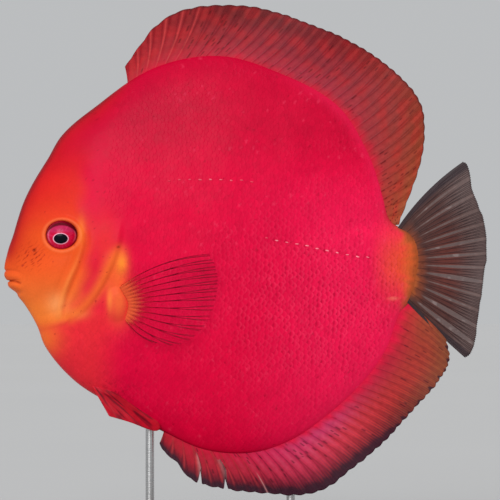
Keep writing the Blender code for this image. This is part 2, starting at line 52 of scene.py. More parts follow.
# Middle of the disc, over the floor
CENTRE_X = -7.0
CENTRE_Z = 102.0

# The photo: size of a pixel on the fish, pixels a side, and its middle in pixels from the disc's middle
PIXEL = 0.35
PICTURE = 500
PICTURE_MIDDLE = (25, 5)
CAMERA_AWAY = 2000.0
SENSOR = 36.0

# The flesh, as in the solids: outline (bearing, radius) and half thickness by place along the fish
OUTLINE = (
    (1.5, 68.2), (6.5, 65.8), (11.0, 59.5), (19.0, 58.9), (37.5, 62.2), (52.0, 65.6), (73.0, 66.7),
    (91.0, 69.8), (109.0, 70.2), (129.0, 68.8), (144.0, 70.8), (152.0, 70.6), (165.0, 72.8),
    (174.0, 74.3), (179.5, 76.2), (184.0, 77.4), (188.0, 76.2), (194.0, 72.2), (200.5, 70.3),
    (207.0, 70.6), (220.0, 68.6), (235.0, 65.2), (250.0, 65.4), (265.0, 68.8), (282.0, 69.9),
    (306.0, 66.4), (330.0, 65.6), (341.0, 64.6), (346.5, 67.4), (354.0, 68.6),
)
# The outline again, run on past a full turn at both ends
ROUND_OUTLINE = (
    [(b - 360.0, r) for b, r in OUTLINE[-3:]] + list(OUTLINE) + [(b + 360.0, r) for b, r in OUTLINE[:3]]
)
HALF_WIDTHS = (
    (-80.0, 14.0), (-62.0, 17.0), (-45.0, 17.2), (-25.0, 14.8), (0.0, 13.6), (22.0, 12.2), (42.0, 10.0),
    (70.0, 8.0),
)
RIM_HALF = 0.9
RIM_POWER = 24
FACE_BLUNTNESS = 0.5
BODY_BLUNTNESS = 0.75
FACE_BLEND = (1.25, -0.1)

# Skin mesh, and its unwrap: the middles of the left and the right flank's discs and their radius
SPOKES = 600
RINGS = 200
SKIN_UV = ((0.29, 0.29), (0.71, 0.71), 0.285)
# Where the spokes crowd together: bearing, reach and how much
CROWDED = ((184.0, 28.0, 1.4), (187.0, 4.0, 7.0))
# Radius of a round disc as large as the flank
DISC_RADIUS = 70.0

# Gill cover: its free rear edge, its front edge and how far it stands proud
GILL_EDGE = (
    (-38.5, 20.0), (-36.6, 15.0), (-35.8, 10.0), (-36.6, 3.0), (-39.8, -5.5), (-44.0, -13.0),
    (-49.5, -19.6), (-56.0, -23.6), (-63.0, -25.6), (-70.0, -26.6),
)
CHEEK_EDGE = (
    (-48.6, 16.0), (-49.5, 11.6), (-49.7, 4.2), (-51.5, -2.5), (-54.4, -9.1), (-56.4, -14.4),
    (-57.6, -18.6), (-58.0, -22.0),
)
GILL_RAISE = 0.75
# Folds in front of the gill cover: place behind its front edge, width, rise
CHEEK_FOLDS = ((0.0, 0.9, 0.5), (1.7, 0.7, -0.3), (3.4, 1.0, 0.2), (-2.6, 0.8, -0.2))

# Eye, with how much lower than wide its socket is, and where on the ball the pupil looks
EYE_X = -56.7
EYE_Z = 6.9
EYE_RADIUS = 5.5
EYE_HALF_DEPTH = 4.0
EYE_BULGE = 1.9
EYE_SOCKET = 5.75
EYE_SQUASH = 1.15
PUPIL = (-0.33, -1.2)
PUPIL_HALF = (2.4, 1.7)
EYE_MESH = (121, 160)

# Mouth, lips as (bearing, width, rise of the outline), and nostril
MOUTH_LINE = ((-79.0, -9.0), (-76.0, -9.1), (-73.4, -9.2), (-71.4, -9.9))
LIPS = (
    (185.5, 0.8, 0.35), (188.2, 0.9, 0.5), (186.85, 0.22, -0.9), (184.1, 0.35, -0.4), (190.3, 0.8, -0.5),
)
NOSTRIL = (-66.4, 1.6)

# Lateral line: a high front run and a low rear one, and its pores' spacing and half length, width, height
FRONT_LINE = (
    (-33.0, 15.0), (-28.0, 21.0), (-21.0, 25.6), (-4.0, 26.2), (14.0, 25.0), (30.0, 20.0), (42.0, 12.0),
)
REAR_LINE = ((14.5, 5.9), (25.0, 3.9), (36.0, 1.4), (47.0, -0.5), (57.0, -1.8), (66.0, -2.2))
PORE_PITCH = 3.6
PORE_HALF = (0.62, 0.24, 0.16)
PORE_MESH = (7, 12)

# Scales: spacing along and between rows, half length and height, how far they stand out, patch of unwrap
SCALE_PITCH = 2.5
SCALE_ROW = 1.1
SCALE_HALF = (1.55, 1.15)
SCALE_LIFT = 0.13
SCALE_PATCH = 0.003
# Rows above and below the middle, and scales of a row ahead of it and behind it
SCALE_COUNTS = (66, 30)
# One scale: places along it with the share of its lift there, and places across it
SCALE_ALONG = (
    (-1.0, -0.7), (-0.45, 0.0), (-0.1, 0.35), (0.35, 0.7), (0.85, 1.0), (1.0, 0.85), (1.02, -0.6),
)
SCALE_ACROSS = (-1.0, -0.35, 0.35, 1.0)
# Share of the outline's radius beyond which no scale starts, and which none crosses
SCALES_TO = 0.968
SCALES_WITHIN = 0.995

# Meshes of the fins: places to a ray or bundle of rays, and rows from root to margin
DORSAL_MESH = (14, 60)
ANAL_MESH = (16, 60)
TAIL_MESH = (48, 72)
PECTORAL_MESH = (8, 40)
PELVIC_MESH = (12, 40)
# Where a fin's two sides lie on its unwrap, and how large they are there
SHEET_UV = ((0.01, 0.01), (0.51, 0.01), 0.48)
# Sides and rings of a pectoral ray
STRAND_SIDES = 7
STRAND_RINGS = 34

# Fins, as in the solids: tips by share of the base, margins by bearing
ROOT_SINK = 3.0
ROOT_HALF = 0.85
DORSAL_RAYS = 40
DORSAL_BASE = (121.0, 10.8)
DORSAL_TIPS = (
    (0.0, 118.0), (0.05, 108.5), (0.13, 95.5), (0.25, 80.8), (0.4, 67.6), (0.6, 51.0), (0.8, 34.5),
    (0.92, 22.5), (1.0, 9.9),
)
DORSAL_MARGIN = (
    (8.0, 61.2), (10.0, 62.0), (14.0, 64.6), (19.7, 69.9), (28.0, 78.8), (33.0, 83.4), (37.0, 86.4),
    (42.0, 87.6), (55.0, 87.2), (69.0, 86.3), (85.0, 87.6), (101.0, 86.8), (107.0, 83.7), (112.0, 79.3),
    (118.0, 74.6), (122.0, 71.2),
)
ANAL_RAYS = 37
ANAL_BASE = (250.5, 346.0)
ANAL_TIPS = (
    (0.0, 250.8), (0.085, 263.5), (0.14, 269.9), (0.32, 288.8), (0.55, 311.0), (0.78, 328.0),
    (0.93, 335.6), (1.0, 339.1),
)
ANAL_MARGIN = (
    (250.0, 68.5), (252.5, 72.0), (256.5, 74.4), (261.0, 79.3), (266.0, 81.2), (271.0, 82.2),
    (280.0, 85.0), (291.5, 89.2), (301.0, 87.1), (311.0, 86.0), (319.0, 85.3), (330.0, 87.0),
    (335.0, 86.9), (338.0, 84.2), (339.5, 82.4),
)
# Slits in the anal fin: ray, depth
ANAL_SLITS = ((3.1, 6.0), (5.15, 8.0))
SLIT_WIDTH = 0.085
# Bow of the rays, and height and number of the waves along the margin
MEDIAN_BOW = 0.04
FIN_WAVE = 0.6
FIN_WAVES = 3.0

# Tail fin, from its own focus: base, margin and bow by bearing, then its bundles of rays and their forks
TAIL_FOCUS = (49.7, -2.8)
TAIL_BASE = ((-44.0, 19.4), (-20.0, 19.0), (0.0, 17.6), (25.0, 16.4), (46.5, 15.8))
TAIL_MARGIN = (
    (-44.0, 47.6), (-41.0, 48.3), (-34.4, 46.1), (-27.7, 43.9), (-20.5, 42.4), (-12.8, 41.6),
    (-5.1, 41.4), (2.4, 42.0), (14.6, 43.1), (28.4, 44.2), (34.9, 45.2), (41.6, 48.2), (45.0, 49.4),
    (46.5, 49.0),
)
TAIL_BOW = ((-44.0, -0.014), (0.0, 0.0), (25.0, 0.02), (46.5, 0.055))
TAIL_ROOT_HALF = 1.9
TAIL_WAVE = 1.0
TAIL_WAVES = 2.0
TAIL_WAVE_START = 0.6
TAIL_BUNDLES = 13
TAIL_BUNDLE_HALF = ((0.0, 0.48), (0.2, 0.43), (0.4, 0.365), (0.6, 0.34), (0.8, 0.39), (1.0, 0.47))
TAIL_FORKS = ((0.2, 0.0, 0.6), (0.1, 0.4, 0.9), (0.05, 0.62, 1.0))

# Pectoral fins, and the fleshy lobe they grow from
PECTORAL_RAYS = 13
PECTORAL_BASE = ((0.0, -36.6, -11.2), (0.5, -33.6, -16.6), (1.0, -34.6, -22.4))
PECTORAL_TIPS = (
    (0.0, -4.8, 0.4), (0.1, -3.2, -2.6), (0.3, -2.0, -8.4), (0.5, -2.6, -14.8), (0.64, -4.4, -20.8),
    (0.76, -7.6, -25.8), (0.86, -12.4, -29.8), (0.93, -17.6, -31.4), (1.0, -24.8, -30.4),
)
PECTORAL_SEAT = 0.4
PECTORAL_SPREAD = 0.22
PECTORAL_CURL = 0.25
PECTORAL_BOW = 0.15
PECTORAL_STRAIGHT_AT = 0.47
LOBE_AT = (-37.6, -17.2)
LOBE_REACH = (4.6, 6.6)
LOBE_RAISE = 1.0

# Pelvic fins
PELVIC_RAYS = 6
PELVIC_BASE = ((0.0, -47.2, -44.4), (1.0, -43.4, -44.6))
PELVIC_TIPS = (
    (0.0, -40.4, -56.2), (0.3, -33.0, -58.4), (0.6, -24.6, -61.4), (0.8, -22.6, -59.6),
    (1.0, -26.6, -54.6),
)
PELVIC_SINK = 1.6
PELVIC_LIFT = 1.3
PELVIC_FLARE = 2.2
PELVIC_LIFT_BY = 0.3
PELVIC_INSIDE = 0.97

# Lights as (name, direction they come from, strength, spread in degrees), and the light from all round
SUNS = (("key", (-0.24, -0.9, 0.44), 2.25, 40.0), ("back", (0.5, 0.7, 0.6), 1.15, 50.0))
SURROUND = (0.5, 0.51, 0.52)
# Floor's size and how far it lies under the stand, in metres
FLOOR_SIZE = 12.0
FLOOR_DROP = 0.0002
FLOOR_GREYS = (0.491, 0.507)
STEEL_GREYS = (0.42, 0.62)

# Colours of the body
CRIMSON = (216, 4, 56)
PINK_CRIMSON = (232, 20, 74)
BACK_RED = (192, 6, 48)
# Where the orange of the face ends, from the nape down, and its colours by height
FACE_EDGE = (
    (-42.0, 60.0), (-46.0, 42.0), (-49.0, 24.0), (-47.3, 11.6), (-46.7, 4.2), (-47.4, -5.3),
    (-49.4, -14.4), (-53.0, -20.0),
)
FACE_BY_HEIGHT = (
    (-40.0, 226, 44, 52), (-30.0, 234, 84, 44), (-22.0, 242, 122, 48), (-14.0, 238, 110, 46),
    (-4.0, 230, 86, 34), (6.0, 227, 80, 30), (13.0, 224, 62, 32), (20.0, 219, 44, 32),
    (28.0, 213, 32, 35), (37.0, 199, 17, 43), (48.0, 190, 10, 50),
)
# Bright band along the gill cover's rear edge
GILL_BAND = ((-37.0, 3.0), (-40.5, -5.5), (-44.5, -12.5), (-49.0, -18.0), (-54.0, -21.5))
# Soft patches of colour: (x, z, reach along, reach up), colour, strength. Most are the skin's own colours;
# three, marked below, are painted light and shade.
SKIN_TONE_AND_LIGHT_PATCHES = (
    ((-42.0, 5.0, 5.0, 10.0), (222, 38, 42), 0.8), ((-38.5, -8.0, 4.5, 8.0), (230, 66, 44), 0.75),
    ((-63.5, -29.0, 6.0, 6.5), (243, 112, 44), 0.85), ((-49.9, 8.5, 1.3, 4.4), (250, 130, 42), 0.55),
    # Painted light: the first patch on the next line brightens the flank under the pectoral fin, against
    # the shadow of its rays.
    ((-14.0, -14.0, 13.0, 12.0), (238, 12, 72), 0.5), ((-58.6, -17.0, 3.4, 3.6), (246, 160, 96), 0.65),
    ((-51.5, -20.4, 4.0, 1.7), (250, 160, 84), 0.6), ((-68.0, 2.0, 5.0, 5.0), (212, 66, 28), 0.6),
    ((-37.2, -8.5, 2.8, 5.6), (243, 98, 48), 0.75), ((-36.0, -2.6, 2.0, 3.6), (255, 142, 46), 0.95),
    # Painted highlight: the first patch on the next line is a small pale streak low on the body by the
    # tail's root.
    ((58.8, -15.2, 1.7, 0.5), (255, 150, 120), 0.6), ((58.0, 14.0, 2.4, 3.4), (172, 42, 42), 0.7),
    # Painted shade: the first patch on the next line darkens the nape, against the key light that falls
    # strongest there.
    ((-27.0, 50.0, 14.0, 12.0), (176, 0, 44), 0.5), ((-36.9, -17.0, 3.4, 6.4), (238, 112, 50), 0.8),
    ((-40.0, -16.0, 1.0, 4.0), (248, 150, 60), 0.6), ((-44.0, -22.0, 9.0, 8.0), (232, 44, 50), 0.5),
)
# Fins' colours by place along the base, for the base, the middle and the margin, and how deep they are
DORSAL_TABLES = (
    (
        (0.0, 196, 20, 46), (0.25, 176, 36, 56), (0.5, 166, 40, 60), (0.75, 160, 46, 52),
        (1.0, 176, 58, 42),
    ),
    (
        (0.0, 188, 26, 42), (0.12, 158, 34, 44), (0.3, 142, 34, 48), (0.6, 148, 42, 50),
        (0.8, 150, 54, 44), (1.0, 168, 72, 42),
    ),
    (
        (0.0, 176, 20, 34), (0.2, 116, 26, 30), (0.4, 126, 30, 36), (0.6, 146, 36, 32),
        (0.8, 152, 62, 38), (1.0, 170, 86, 46),
    ),
)
ANAL_TABLES = (
    (
        (0.0, 204, 22, 52), (0.2, 206, 18, 60), (0.35, 205, 40, 88), (0.5, 194, 50, 98),
        (0.62, 190, 38, 70), (0.8, 186, 32, 54), (1.0, 196, 52, 50),
    ),
    (
        (0.0, 176, 22, 42), (0.2, 184, 28, 56), (0.35, 194, 38, 76), (0.5, 200, 44, 66),
        (0.65, 178, 42, 50), (0.85, 160, 54, 44), (1.0, 158, 74, 48),
    ),
    (
        (0.0, 78, 14, 34), (0.2, 74, 20, 38), (0.4, 66, 26, 44), (0.55, 92, 36, 46), (0.7, 124, 58, 44),
        (0.85, 142, 74, 46), (1.0, 140, 78, 50),
    ),
)
FIN_DEPTH = 0.87
# Colours of the pectoral rays by place from root to tip, and of the stand's wood
PECTORAL_SHADES = ((0.0, 224, 78, 46), (0.2, 196, 26, 40), (0.42, 158, 2, 38), (1.0, 116, 0, 28))
WOOD_DARK = (58, 38, 26)
WOOD_LIGHT = (104, 72, 48)
WOOD_PORES = (38, 24, 16)


def smooth(stations, at):
    """Values at places on a smooth curve through stations, each (place, value, ...), in rising order."""
    table = np.array(stations, float)
    at = np.asarray(at, float)
    place = table[:, 0]
    last = len(place) - 1
    i = np.clip(np.searchsorted(place, at) - 1, 0, last - 1)
    before, end, after = np.maximum(i - 1, 0), i + 1, np.minimum(i + 2, last)
    span = place[end] - place[i]
    t = np.clip((at - place[i]) / span, 0.0, 1.0)
    values = []
    for k in range(1, table.shape[1]):
        v = table[:, k]
        leave = (v[end] - v[before]) / (place[end] - place[before]) * span
        arrive = (v[after] - v[i]) / (place[after] - place[i]) * span
        values.append(
            v[i] * (1 + 2 * t) * (1 - t) ** 2
            + v[end] * t * t * (3 - 2 * t)
            + leave * t * (1 - t) ** 2
            - arrive * t * t * (1 - t)
        )
    return values[0] if len(values) == 1 else values


def ramp(value):
    """0 up to 0, 1 from 1 on, and a smooth rise between."""
    t = np.clip(value, 0.0, 1.0)
    return t * t * (3 - 2 * t)


def bell(value, width):
    """1 where a value is 0, fading to about a third at a width either way."""
    return np.exp(-((value / width) ** 2))


def hump(x, z, at_x, at_z, reach_x, reach_z):
    """1 at a place on the flank, fading smoothly to 0 over a reach each way."""
    return np.exp(-(((x - at_x) / reach_x) ** 2) - ((z - at_z) / reach_z) ** 2)


def outline_radius(bearing):
    return smooth(ROUND_OUTLINE, np.mod(bearing, 360.0))


def polar(bearing, radius):
    return radius * np.cos(np.radians(bearing)), radius * np.sin(np.radians(bearing))


def disc_place(x, z):
    """The bearing of places on the flank, and their share of the outline's radius."""
    bearing = np.degrees(np.arctan2(z, x))
    return bearing, np.hypot(x, z) / outline_radius(bearing)


def rim_fade(share):
    """1 over most of the disc, falling to 0 on its outline."""
    return np.sqrt(np.maximum(0.0, 1 - share**RIM_POWER))


def lens(x, share, bearing):
    """Half the flesh's thickness, where share is 0 in the middle of the disc and 1 on its outline."""
    forward = ramp(-np.cos(np.radians(bearing)) * FACE_BLEND[0] + FACE_BLEND[1])
    bluntness = BODY_BLUNTNESS + (FACE_BLUNTNESS - BODY_BLUNTNESS) * forward
    bulge = smooth(HALF_WIDTHS, x) * np.maximum(0.0, 1 - share * share) ** bluntness
    return bulge + RIM_HALF * rim_fade(share)


def half_thickness(x, z):
    bearing, share = disc_place(x, z)
    return lens(x, np.minimum(1.0, share), bearing)


def dense(line, count=60):
    """Points along a smooth curve through a line's points."""
    stations = [(i, *p) for i, p in enumerate(line)]
    x, z = smooth(stations, np.linspace(0, len(line) - 1, count))
    return np.stack([x, z], axis=1)


def from_line(line, x, z):
    """Distance of places from an open line, above 0 on its left."""
    points = dense(line)
    nearest = np.full(x.shape, 1e9)
    signed = np.zeros(x.shape)
    for (ax, az), (bx, bz) in zip(points, points[1:]):
        run_x, run_z = bx - ax, bz - az
        run = math.hypot(run_x, run_z)
        t = np.clip(((x - ax) * run_x + (z - az) * run_z) / run**2, 0.0, 1.0)
        away = np.hypot(x - ax - t * run_x, z - az - t * run_z)
        turn = run_x * (z - az) - run_z * (x - ax)
        closer = away < nearest
        nearest = np.where(closer, away, nearest)
        signed = np.where(closer, np.sign(turn) * away, signed)
    return signed


def ripple(x, z, size, seed):
    """A smooth seeded unevenness between about -1 and 1, its swells about a size across."""
    draw = np.random.default_rng(seed)
    total = np.zeros(np.shape(x))
    for _ in range(9):
        turn = draw.uniform(0, math.tau)
        wave = math.tau / (size * draw.uniform(0.7, 1.7))
        total += np.sin(wave * (x * math.cos(turn) + z * math.sin(turn)) + draw.uniform(0, math.tau))
    return total / 5.0


def display(colour):
    """A display colour of 0 to 255 as the linear one that shaders take."""
    c = np.asarray(colour, float) / 255.0
    return np.where(c <= 0.04045, c / 12.92, ((c + 0.055) / 1.055) ** 2.4)


def plain(colour, places):
    """One colour at each of some places."""
    return np.broadcast_to(display(colour), places.shape + (3,)).copy()


def colour_table(stations, at):
    """Linear colours at places between stations of (place, red, green, blue)."""
    return display(np.clip(np.stack(smooth(stations, at), axis=-1), 0.0, 255.0))


def mixed(under, over, amount):
    """Two linear colours mixed by an amount at each place."""
    amount = np.clip(amount, 0.0, 1.0)[..., None]
    return under * (1 - amount) + over * amount


def painted(tint, layers):
    """A linear colour under layers of (display colour, amount at each place), laid on in turn."""
    for colour, amount in layers:
        tint = mixed(tint, display(colour), amount)
    return tint


def placed(x, y, z):
    """Points in the stand's frame, from places measured from the middle of the disc."""
    return np.stack([x + CENTRE_X, y, z + CENTRE_Z], axis=-1)


def cells(grid, order=(0, 1, 2, 3)):
    """The corners of every cell of a grid of point numbers, in the order given."""
    corners = [grid[:-1, :-1], grid[1:, :-1], grid[1:, 1:], grid[:-1, 1:]]
    return np.stack([corners[i] for i in order], axis=-1).reshape(-1, 4)


def closed(grid):
    """A grid of point numbers with its first column again after its last."""
    return np.concatenate([grid, grid[:, :1]], axis=1)


def ball_grid(rows, columns):
    """Angles of places on a ball, from its pole and round its axis, and the cells between them."""
    round_axis = np.arange(columns) / columns * math.tau
    lat, lon = np.meshgrid(np.linspace(0, math.pi, rows), round_axis, indexing="ij")
    return lat, lon, cells(closed(np.arange(rows * columns).reshape(rows, columns)))


def make_mesh(name, points, faces, corner_uv, tint, look, cover=None):
    """A smooth mesh from points in millimetres in the stand's frame, with its colours painted on."""
    mesh = bpy.data.meshes.new(name)
    mesh.from_pydata((np.asarray(points) * MM).tolist(), [], faces)
    mesh.uv_layers.new(name="OFBake").data.foreach_set("uv", np.asarray(corner_uv, np.float32).ravel())
    colours = np.concatenate([tint, np.ones((len(tint), 1))], axis=1).astype(np.float32)
    mesh.attributes.new("tint", "FLOAT_COLOR", "POINT").data.foreach_set("color", colours.ravel())
    if cover is not None:
        solid = np.asarray(cover, np.float32)
        mesh.attributes.new("cover", "FLOAT", "POINT").data.foreach_set("value", solid)
    mesh.shade_smooth()
    mesh.materials.append(look)
    made = bpy.data.objects.new(name, mesh)
    bpy.context.scene.collection.objects.link(made)
    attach(made, BODY)
    return made


def turn_outward(mesh, weld=False):
    """Turns a mesh's faces outward, where asked after joining the points that coincide."""
    bm = bmesh.new()
    bm.from_mesh(mesh)
    if weld:
        bmesh.ops.remove_doubles(bm, verts=bm.verts, dist=WELD_WITHIN * MM)
    bmesh.ops.recalc_face_normals(bm, faces=bm.faces)
    bm.to_mesh(mesh)
    bm.free()


class Nodes:
    """Short ways to lay out a material's nodes."""

    def __init__(self, name):
        self.material = bpy.data.materials.new(name)
        self.material.use_nodes = True
        self.tree = self.material.node_tree
        self.shader = self.tree.nodes["Principled BSDF"]

    def add(self, kind, inputs=None, **settings):
        node = self.tree.nodes.new(kind)
        for key, value in settings.items():
            setattr(node, key, value)
        for key, value in (inputs or {}).items():
            self.feed(node.inputs[key], value)
        return node

    def feed(self, socket, value):
        if isinstance(value, bpy.types.NodeSocket):
            self.tree.links.new(value, socket)
        else:
            socket.default_value = value

    def attribute(self, label, output):
        return self.add("ShaderNodeAttribute", attribute_name=label).outputs[output]

    def place(self):
        return self.add("ShaderNodeTexCoord").outputs["Object"]

    def noise(self, vector, scale, detail=3.0, rough=0.5):
        inputs = {"Vector": vector, "Scale": scale, "Detail": detail, "Roughness": rough}
        return self.add("ShaderNodeTexNoise", inputs).outputs["Fac"]

    def fit(self, value, low, high, to_low=0.0, to_high=1.0):
        inputs = {"Value": value, "From Min": low, "From Max": high, "To Min": to_low, "To Max": to_high}
        return self.add("ShaderNodeMapRange", inputs).outputs["Result"]

    def product(self, a, b):
        return self.add("ShaderNodeMath", {0: a, 1: b}, operation="MULTIPLY").outputs[0]

    def mix(self, factor, a, b, kind="MIX"):
        node = self.add("ShaderNodeMix", data_type="RGBA", blend_type=kind)
        self.feed(node.inputs[0], factor)
        self.feed(node.inputs[6], a)
        self.feed(node.inputs[7], b)
        return node.outputs[2]

    def shaded(self, value):
        """The painted tint, made lighter or darker by a value."""
        level = self.add("ShaderNodeCombineColor", {0: value, 1: value, 2: value}).outputs[0]
        return self.mix(1.0, self.attribute("tint", "Color"), level, "MULTIPLY")

    def stretched(self, vector, scale):
        inputs = {"Vector": vector, "Scale": scale}
        return self.add("ShaderNodeMapping", inputs).outputs["Vector"]

    def bump(self, height, strength, distance):
        inputs = {"Strength": strength, "Distance": distance, "Height": height}
        node = self.add("ShaderNodeBump", inputs)
        self.feed(self.shader.inputs["Normal"], node.outputs["Normal"])

    def finish(self, colour, roughness, **constants):
        self.feed(self.shader.inputs["Base Color"], colour)
        self.feed(self.shader.inputs["Roughness"], roughness)
        for label, value in constants.items():
            self.feed(self.shader.inputs[label.replace("_", " ")], value)
        return self.material


def grey(level):
    return (level, level, level, 1.0)


def shader_colour(colour):
    return (*display(colour), 1.0)


def skin_material():
    n = Nodes("discus_skin")
    place = n.place()
    mottle = n.fit(n.noise(place, 120.0), 0.3, 0.7, 0.95, 1.04)
    grain = n.fit(n.noise(place, 1400.0, 2.0), 0.3, 0.7, 0.96, 1.03)
    rough = n.fit(n.noise(place, 240.0), 0.3, 0.7, 0.36, 0.5)
    n.bump(n.noise(place, 1900.0, 2.0), 0.2, 0.0001)
    colour = n.shaded(n.product(mottle, grain))
    return n.finish(colour, rough, Specular_IOR_Level=0.045, Coat_Weight=0.025, Coat_Roughness=0.2)


def fin_material():
    n = Nodes("fins")
    place = n.place()
    mottle = n.fit(n.noise(place, 600.0), 0.3, 0.7, 0.88, 1.1)
    rough = n.fit(n.noise(place, 300.0), 0.3, 0.7, 0.34, 0.52)
    n.bump(n.noise(place, 1700.0, 2.0), 0.25, 0.0001)
    n.feed(n.shader.inputs["Alpha"], n.attribute("cover", "Fac"))
    return n.finish(n.shaded(mottle), rough, Specular_IOR_Level=0.1)


def eye_material():
    n = Nodes("eye")
    shine = n.fit(n.noise(n.place(), 1400.0), 0.3, 0.7, 0.85, 1.12)
    return n.finish(n.shaded(shine), 0.25, Specular_IOR_Level=0.08, Coat_Weight=0.07, Coat_Roughness=0.12)


def wood_material():
    n = Nodes("stand_wood")
    place = n.place()
    rings = n.noise(n.stretched(place, (6.0, 40.0, 40.0)), 9.0, 5.0, 0.6)
    pores = n.noise(n.stretched(place, (60.0, 900.0, 900.0)), 1.0, 2.0)
    brown = n.mix(n.fit(rings, 0.35, 0.65), shader_colour(WOOD_DARK), shader_colour(WOOD_LIGHT))
    colour = n.mix(n.fit(pores, 0.55, 0.7, 0.0, 0.5), brown, shader_colour(WOOD_PORES))
    rough = n.fit(rings, 0.3, 0.7, 0.5, 0.65)
    n.bump(pores, 0.3, 0.0002)
    return n.finish(colour, rough, Specular_IOR_Level=0.2, Coat_Weight=0.03, Coat_Roughness=0.3)


def steel_material():
    n = Nodes("stand_steel")
    brushed = n.noise(n.stretched(n.place(), (300.0, 300.0, 9000.0)), 1.0, 2.0)
    colour = n.mix(brushed, *map(grey, STEEL_GREYS))
    n.bump(brushed, 0.1, 0.00005)
    return n.finish(colour, n.fit(brushed, 0.3, 0.7, 0.22, 0.38), Metallic=1.0)


def floor_material():
    n = Nodes("floor")
    colour = n.mix(n.noise(n.place(), 3.0), *map(grey, FLOOR_GREYS))
    return n.finish(colour, 0.9, Specular_IOR_Level=0.0)


def skin_bearings():
    """Spokes set closer together round the face and closest at the mouth."""
    fine = np.linspace(0.0, 360.0, 7201)
    crowd = sum((much * np.exp(-(((fine - at) / reach) ** 4)) for at, reach, much in CROWDED), 1)
    run = np.concatenate([[0.0], np.cumsum((crowd[1:] + crowd[:-1]) / 2)])
    return np.interp(np.arange(SPOKES) / SPOKES * run[-1], run, fine)


def lip_profile(bearing):
    """How far the lips stand out of the outline, and the notch between them."""
    return sum(rise * bell(bearing - at, width) for at, width, rise in LIPS)


def gill_relief(x, z):
    behind = from_line(GILL_EDGE, x, z)
    shown = ramp((13.0 - z) / 9.0) * ramp((x + 70.0) / 7.0)
    plate = GILL_RAISE * ramp((x + 53.0) / 13.0) * ramp(-behind / 2.2 + 0.5)
    groove = 0.06 * bell(behind - 0.6, 0.6)
    soft = 0.15 * bell(-behind - 4.6, 1.0) * ramp((4.0 - z) / 8.0)
    return (plate - groove - soft) * shown


def cheek_relief(x, z):
    behind = from_line(CHEEK_EDGE, x, z)
    shown = ramp((11.0 - z) / 9.0) * ramp((z + 23.5) / 4.0)
    folds = sum(rise * bell(behind - at, width) for at, width, rise in CHEEK_FOLDS)
    return folds * shown + 0.7 * hump(x, z, -60.5, -8.5, 5.5, 6.0)


def eye_away(x, z):
    return np.hypot(x - EYE_X, (z - EYE_Z) * EYE_SQUASH)


def eye_relief(x, z):
    away = eye_away(x, z)
    socket = -3.6 * ramp((EYE_SOCKET - away) / 0.8)
    high = 0.5 + 0.5 * np.clip((z - EYE_Z) / 5.0, -1.0, 1.0)
    return socket + (0.2 + 0.6 * high) * bell(away - 6.6, 0.9)


def mouth_relief(x, z):
    above = from_line(MOUTH_LINE, x, z)
    fade = ramp((-69.5 - x) / 4.0)
    slit = -0.9 * bell(above, 0.3) * ramp((-70.8 - x) / 1.5)
    lips = 0.6 * (bell(above - 1.7, 1.1) + bell(above + 1.7, 1.1)) * fade
    crease = -0.25 * (bell(above - 3.5, 0.5) + bell(above + 3.6, 0.5)) * fade
    return slit + lips + crease + 0.3 * hump(x, z, -69.4, -10.6, 1.6, 2.4)


def nostril_away(x, z):
    return np.hypot(x - NOSTRIL[0], z - NOSTRIL[1])


def nostril_relief(x, z):
    away = nostril_away(x, z)
    return 0.18 * bell(away - 0.9, 0.35) - 0.6 * bell(away, 0.42)


def low_relief(x, z):
    """The slight unevenness of real flesh."""
    return 0.1 * ripple(x, z, 16.0, 3) + 0.02 * ripple(x, z, 4.0, 4)


def line_shown(x, z):
    """How clearly the lateral line shows: a short stretch at the front, and the whole rear run."""
    front = 0.04 + 0.5 * hump(x, z, -3.0, 26.0, 15.0, 6.0)
    rear = ramp((x - 12.0) / 6.0) * ramp((12.0 - z) / 4.0) * ramp((54.0 - x) / 5.0)
    return np.maximum(front, rear)


def pore_seam(x, z):
    """1 on the thin dark seam that the lateral line's pores lie on."""
    seam = np.zeros(x.shape)
    for line in (FRONT_LINE, REAR_LINE):
        ends = ramp((x - line[0][0]) / 3.0) * ramp((line[-1][0] - x) / 5.0)
        seam += bell(from_line(line, x, z), 0.3) * ends
    return seam * line_shown(x, z)


def paint_flank(x, z, rim):
    """The body's reds, over broad areas."""
    return painted(plain(CRIMSON, x), (
        (PINK_CRIMSON, ramp((x + 5.0) / 50.0) * ramp((40.0 - z) / 30.0)),
        (BACK_RED, ramp((z - 22.0) / 26.0) * 0.85),
        ((212, 0, 58), hump(x, z, 8.0, 2.0, 20.0, 26.0) * 0.6),
        ((212, 4, 50), ramp((-z - 50.0) / 18.0) * ramp((20.0 - x) / 30.0) * 0.7),
        ((240, 34, 84), bell(rim, 3.0) * ramp((x - 10.0) / 30.0) * 0.5),
    ))


def paint_face(tint, x, z, behind_gill):
    """The face's oranges, up to an uneven edge and down to the red chest, and the soft patches, three of
    which are painted light and shade.
    """
    soft = 0.6 + 1.8 * ramp((-50.0 - x) / 8.0)
    chest = ramp((behind_gill / soft + 1.0) / 2.0) * ramp((-18.0 - z) / 5.0)
    inside = 3.6 + 1.1 * ripple(x, z, 11.0, 54) - from_line(FACE_EDGE, x, z)
    face = ramp(inside / 8.5) * ramp((56.0 - z) / 20.0) * (1 - chest)
    tint = mixed(tint, colour_table(FACE_BY_HEIGHT, z), face)
    patches = [(colour, hump(x, z, *area) * amount) for area, colour, amount in SKIN_TONE_AND_LIGHT_PATCHES]
    return painted(tint, [((226, 42, 52), chest * ramp((-34.0 - x) / 14.0) * 0.85)] + patches)


def paint_gill(tint, x, z):
    """The bright band of the gill cover, and the light and shade of its front edge."""
    band = from_line(GILL_BAND, x, z)
    behind = from_line(CHEEK_EDGE, x, z)
    foot = ramp((z + 23.5) / 4.0)
    return painted(tint, (
        ((238, 106, 42), bell(band, 2.3) * ramp((6.0 - z) / 8.0) * 0.75),
        ((243, 138, 66), bell(behind + 0.2, 0.8) * (0.45 * (ramp((6.0 - z) / 16.0) * foot))),
        ((198, 52, 22), bell(behind - 1.6, 0.55) * ramp((10.0 - z) / 8.0) * foot * 0.3),
    ))


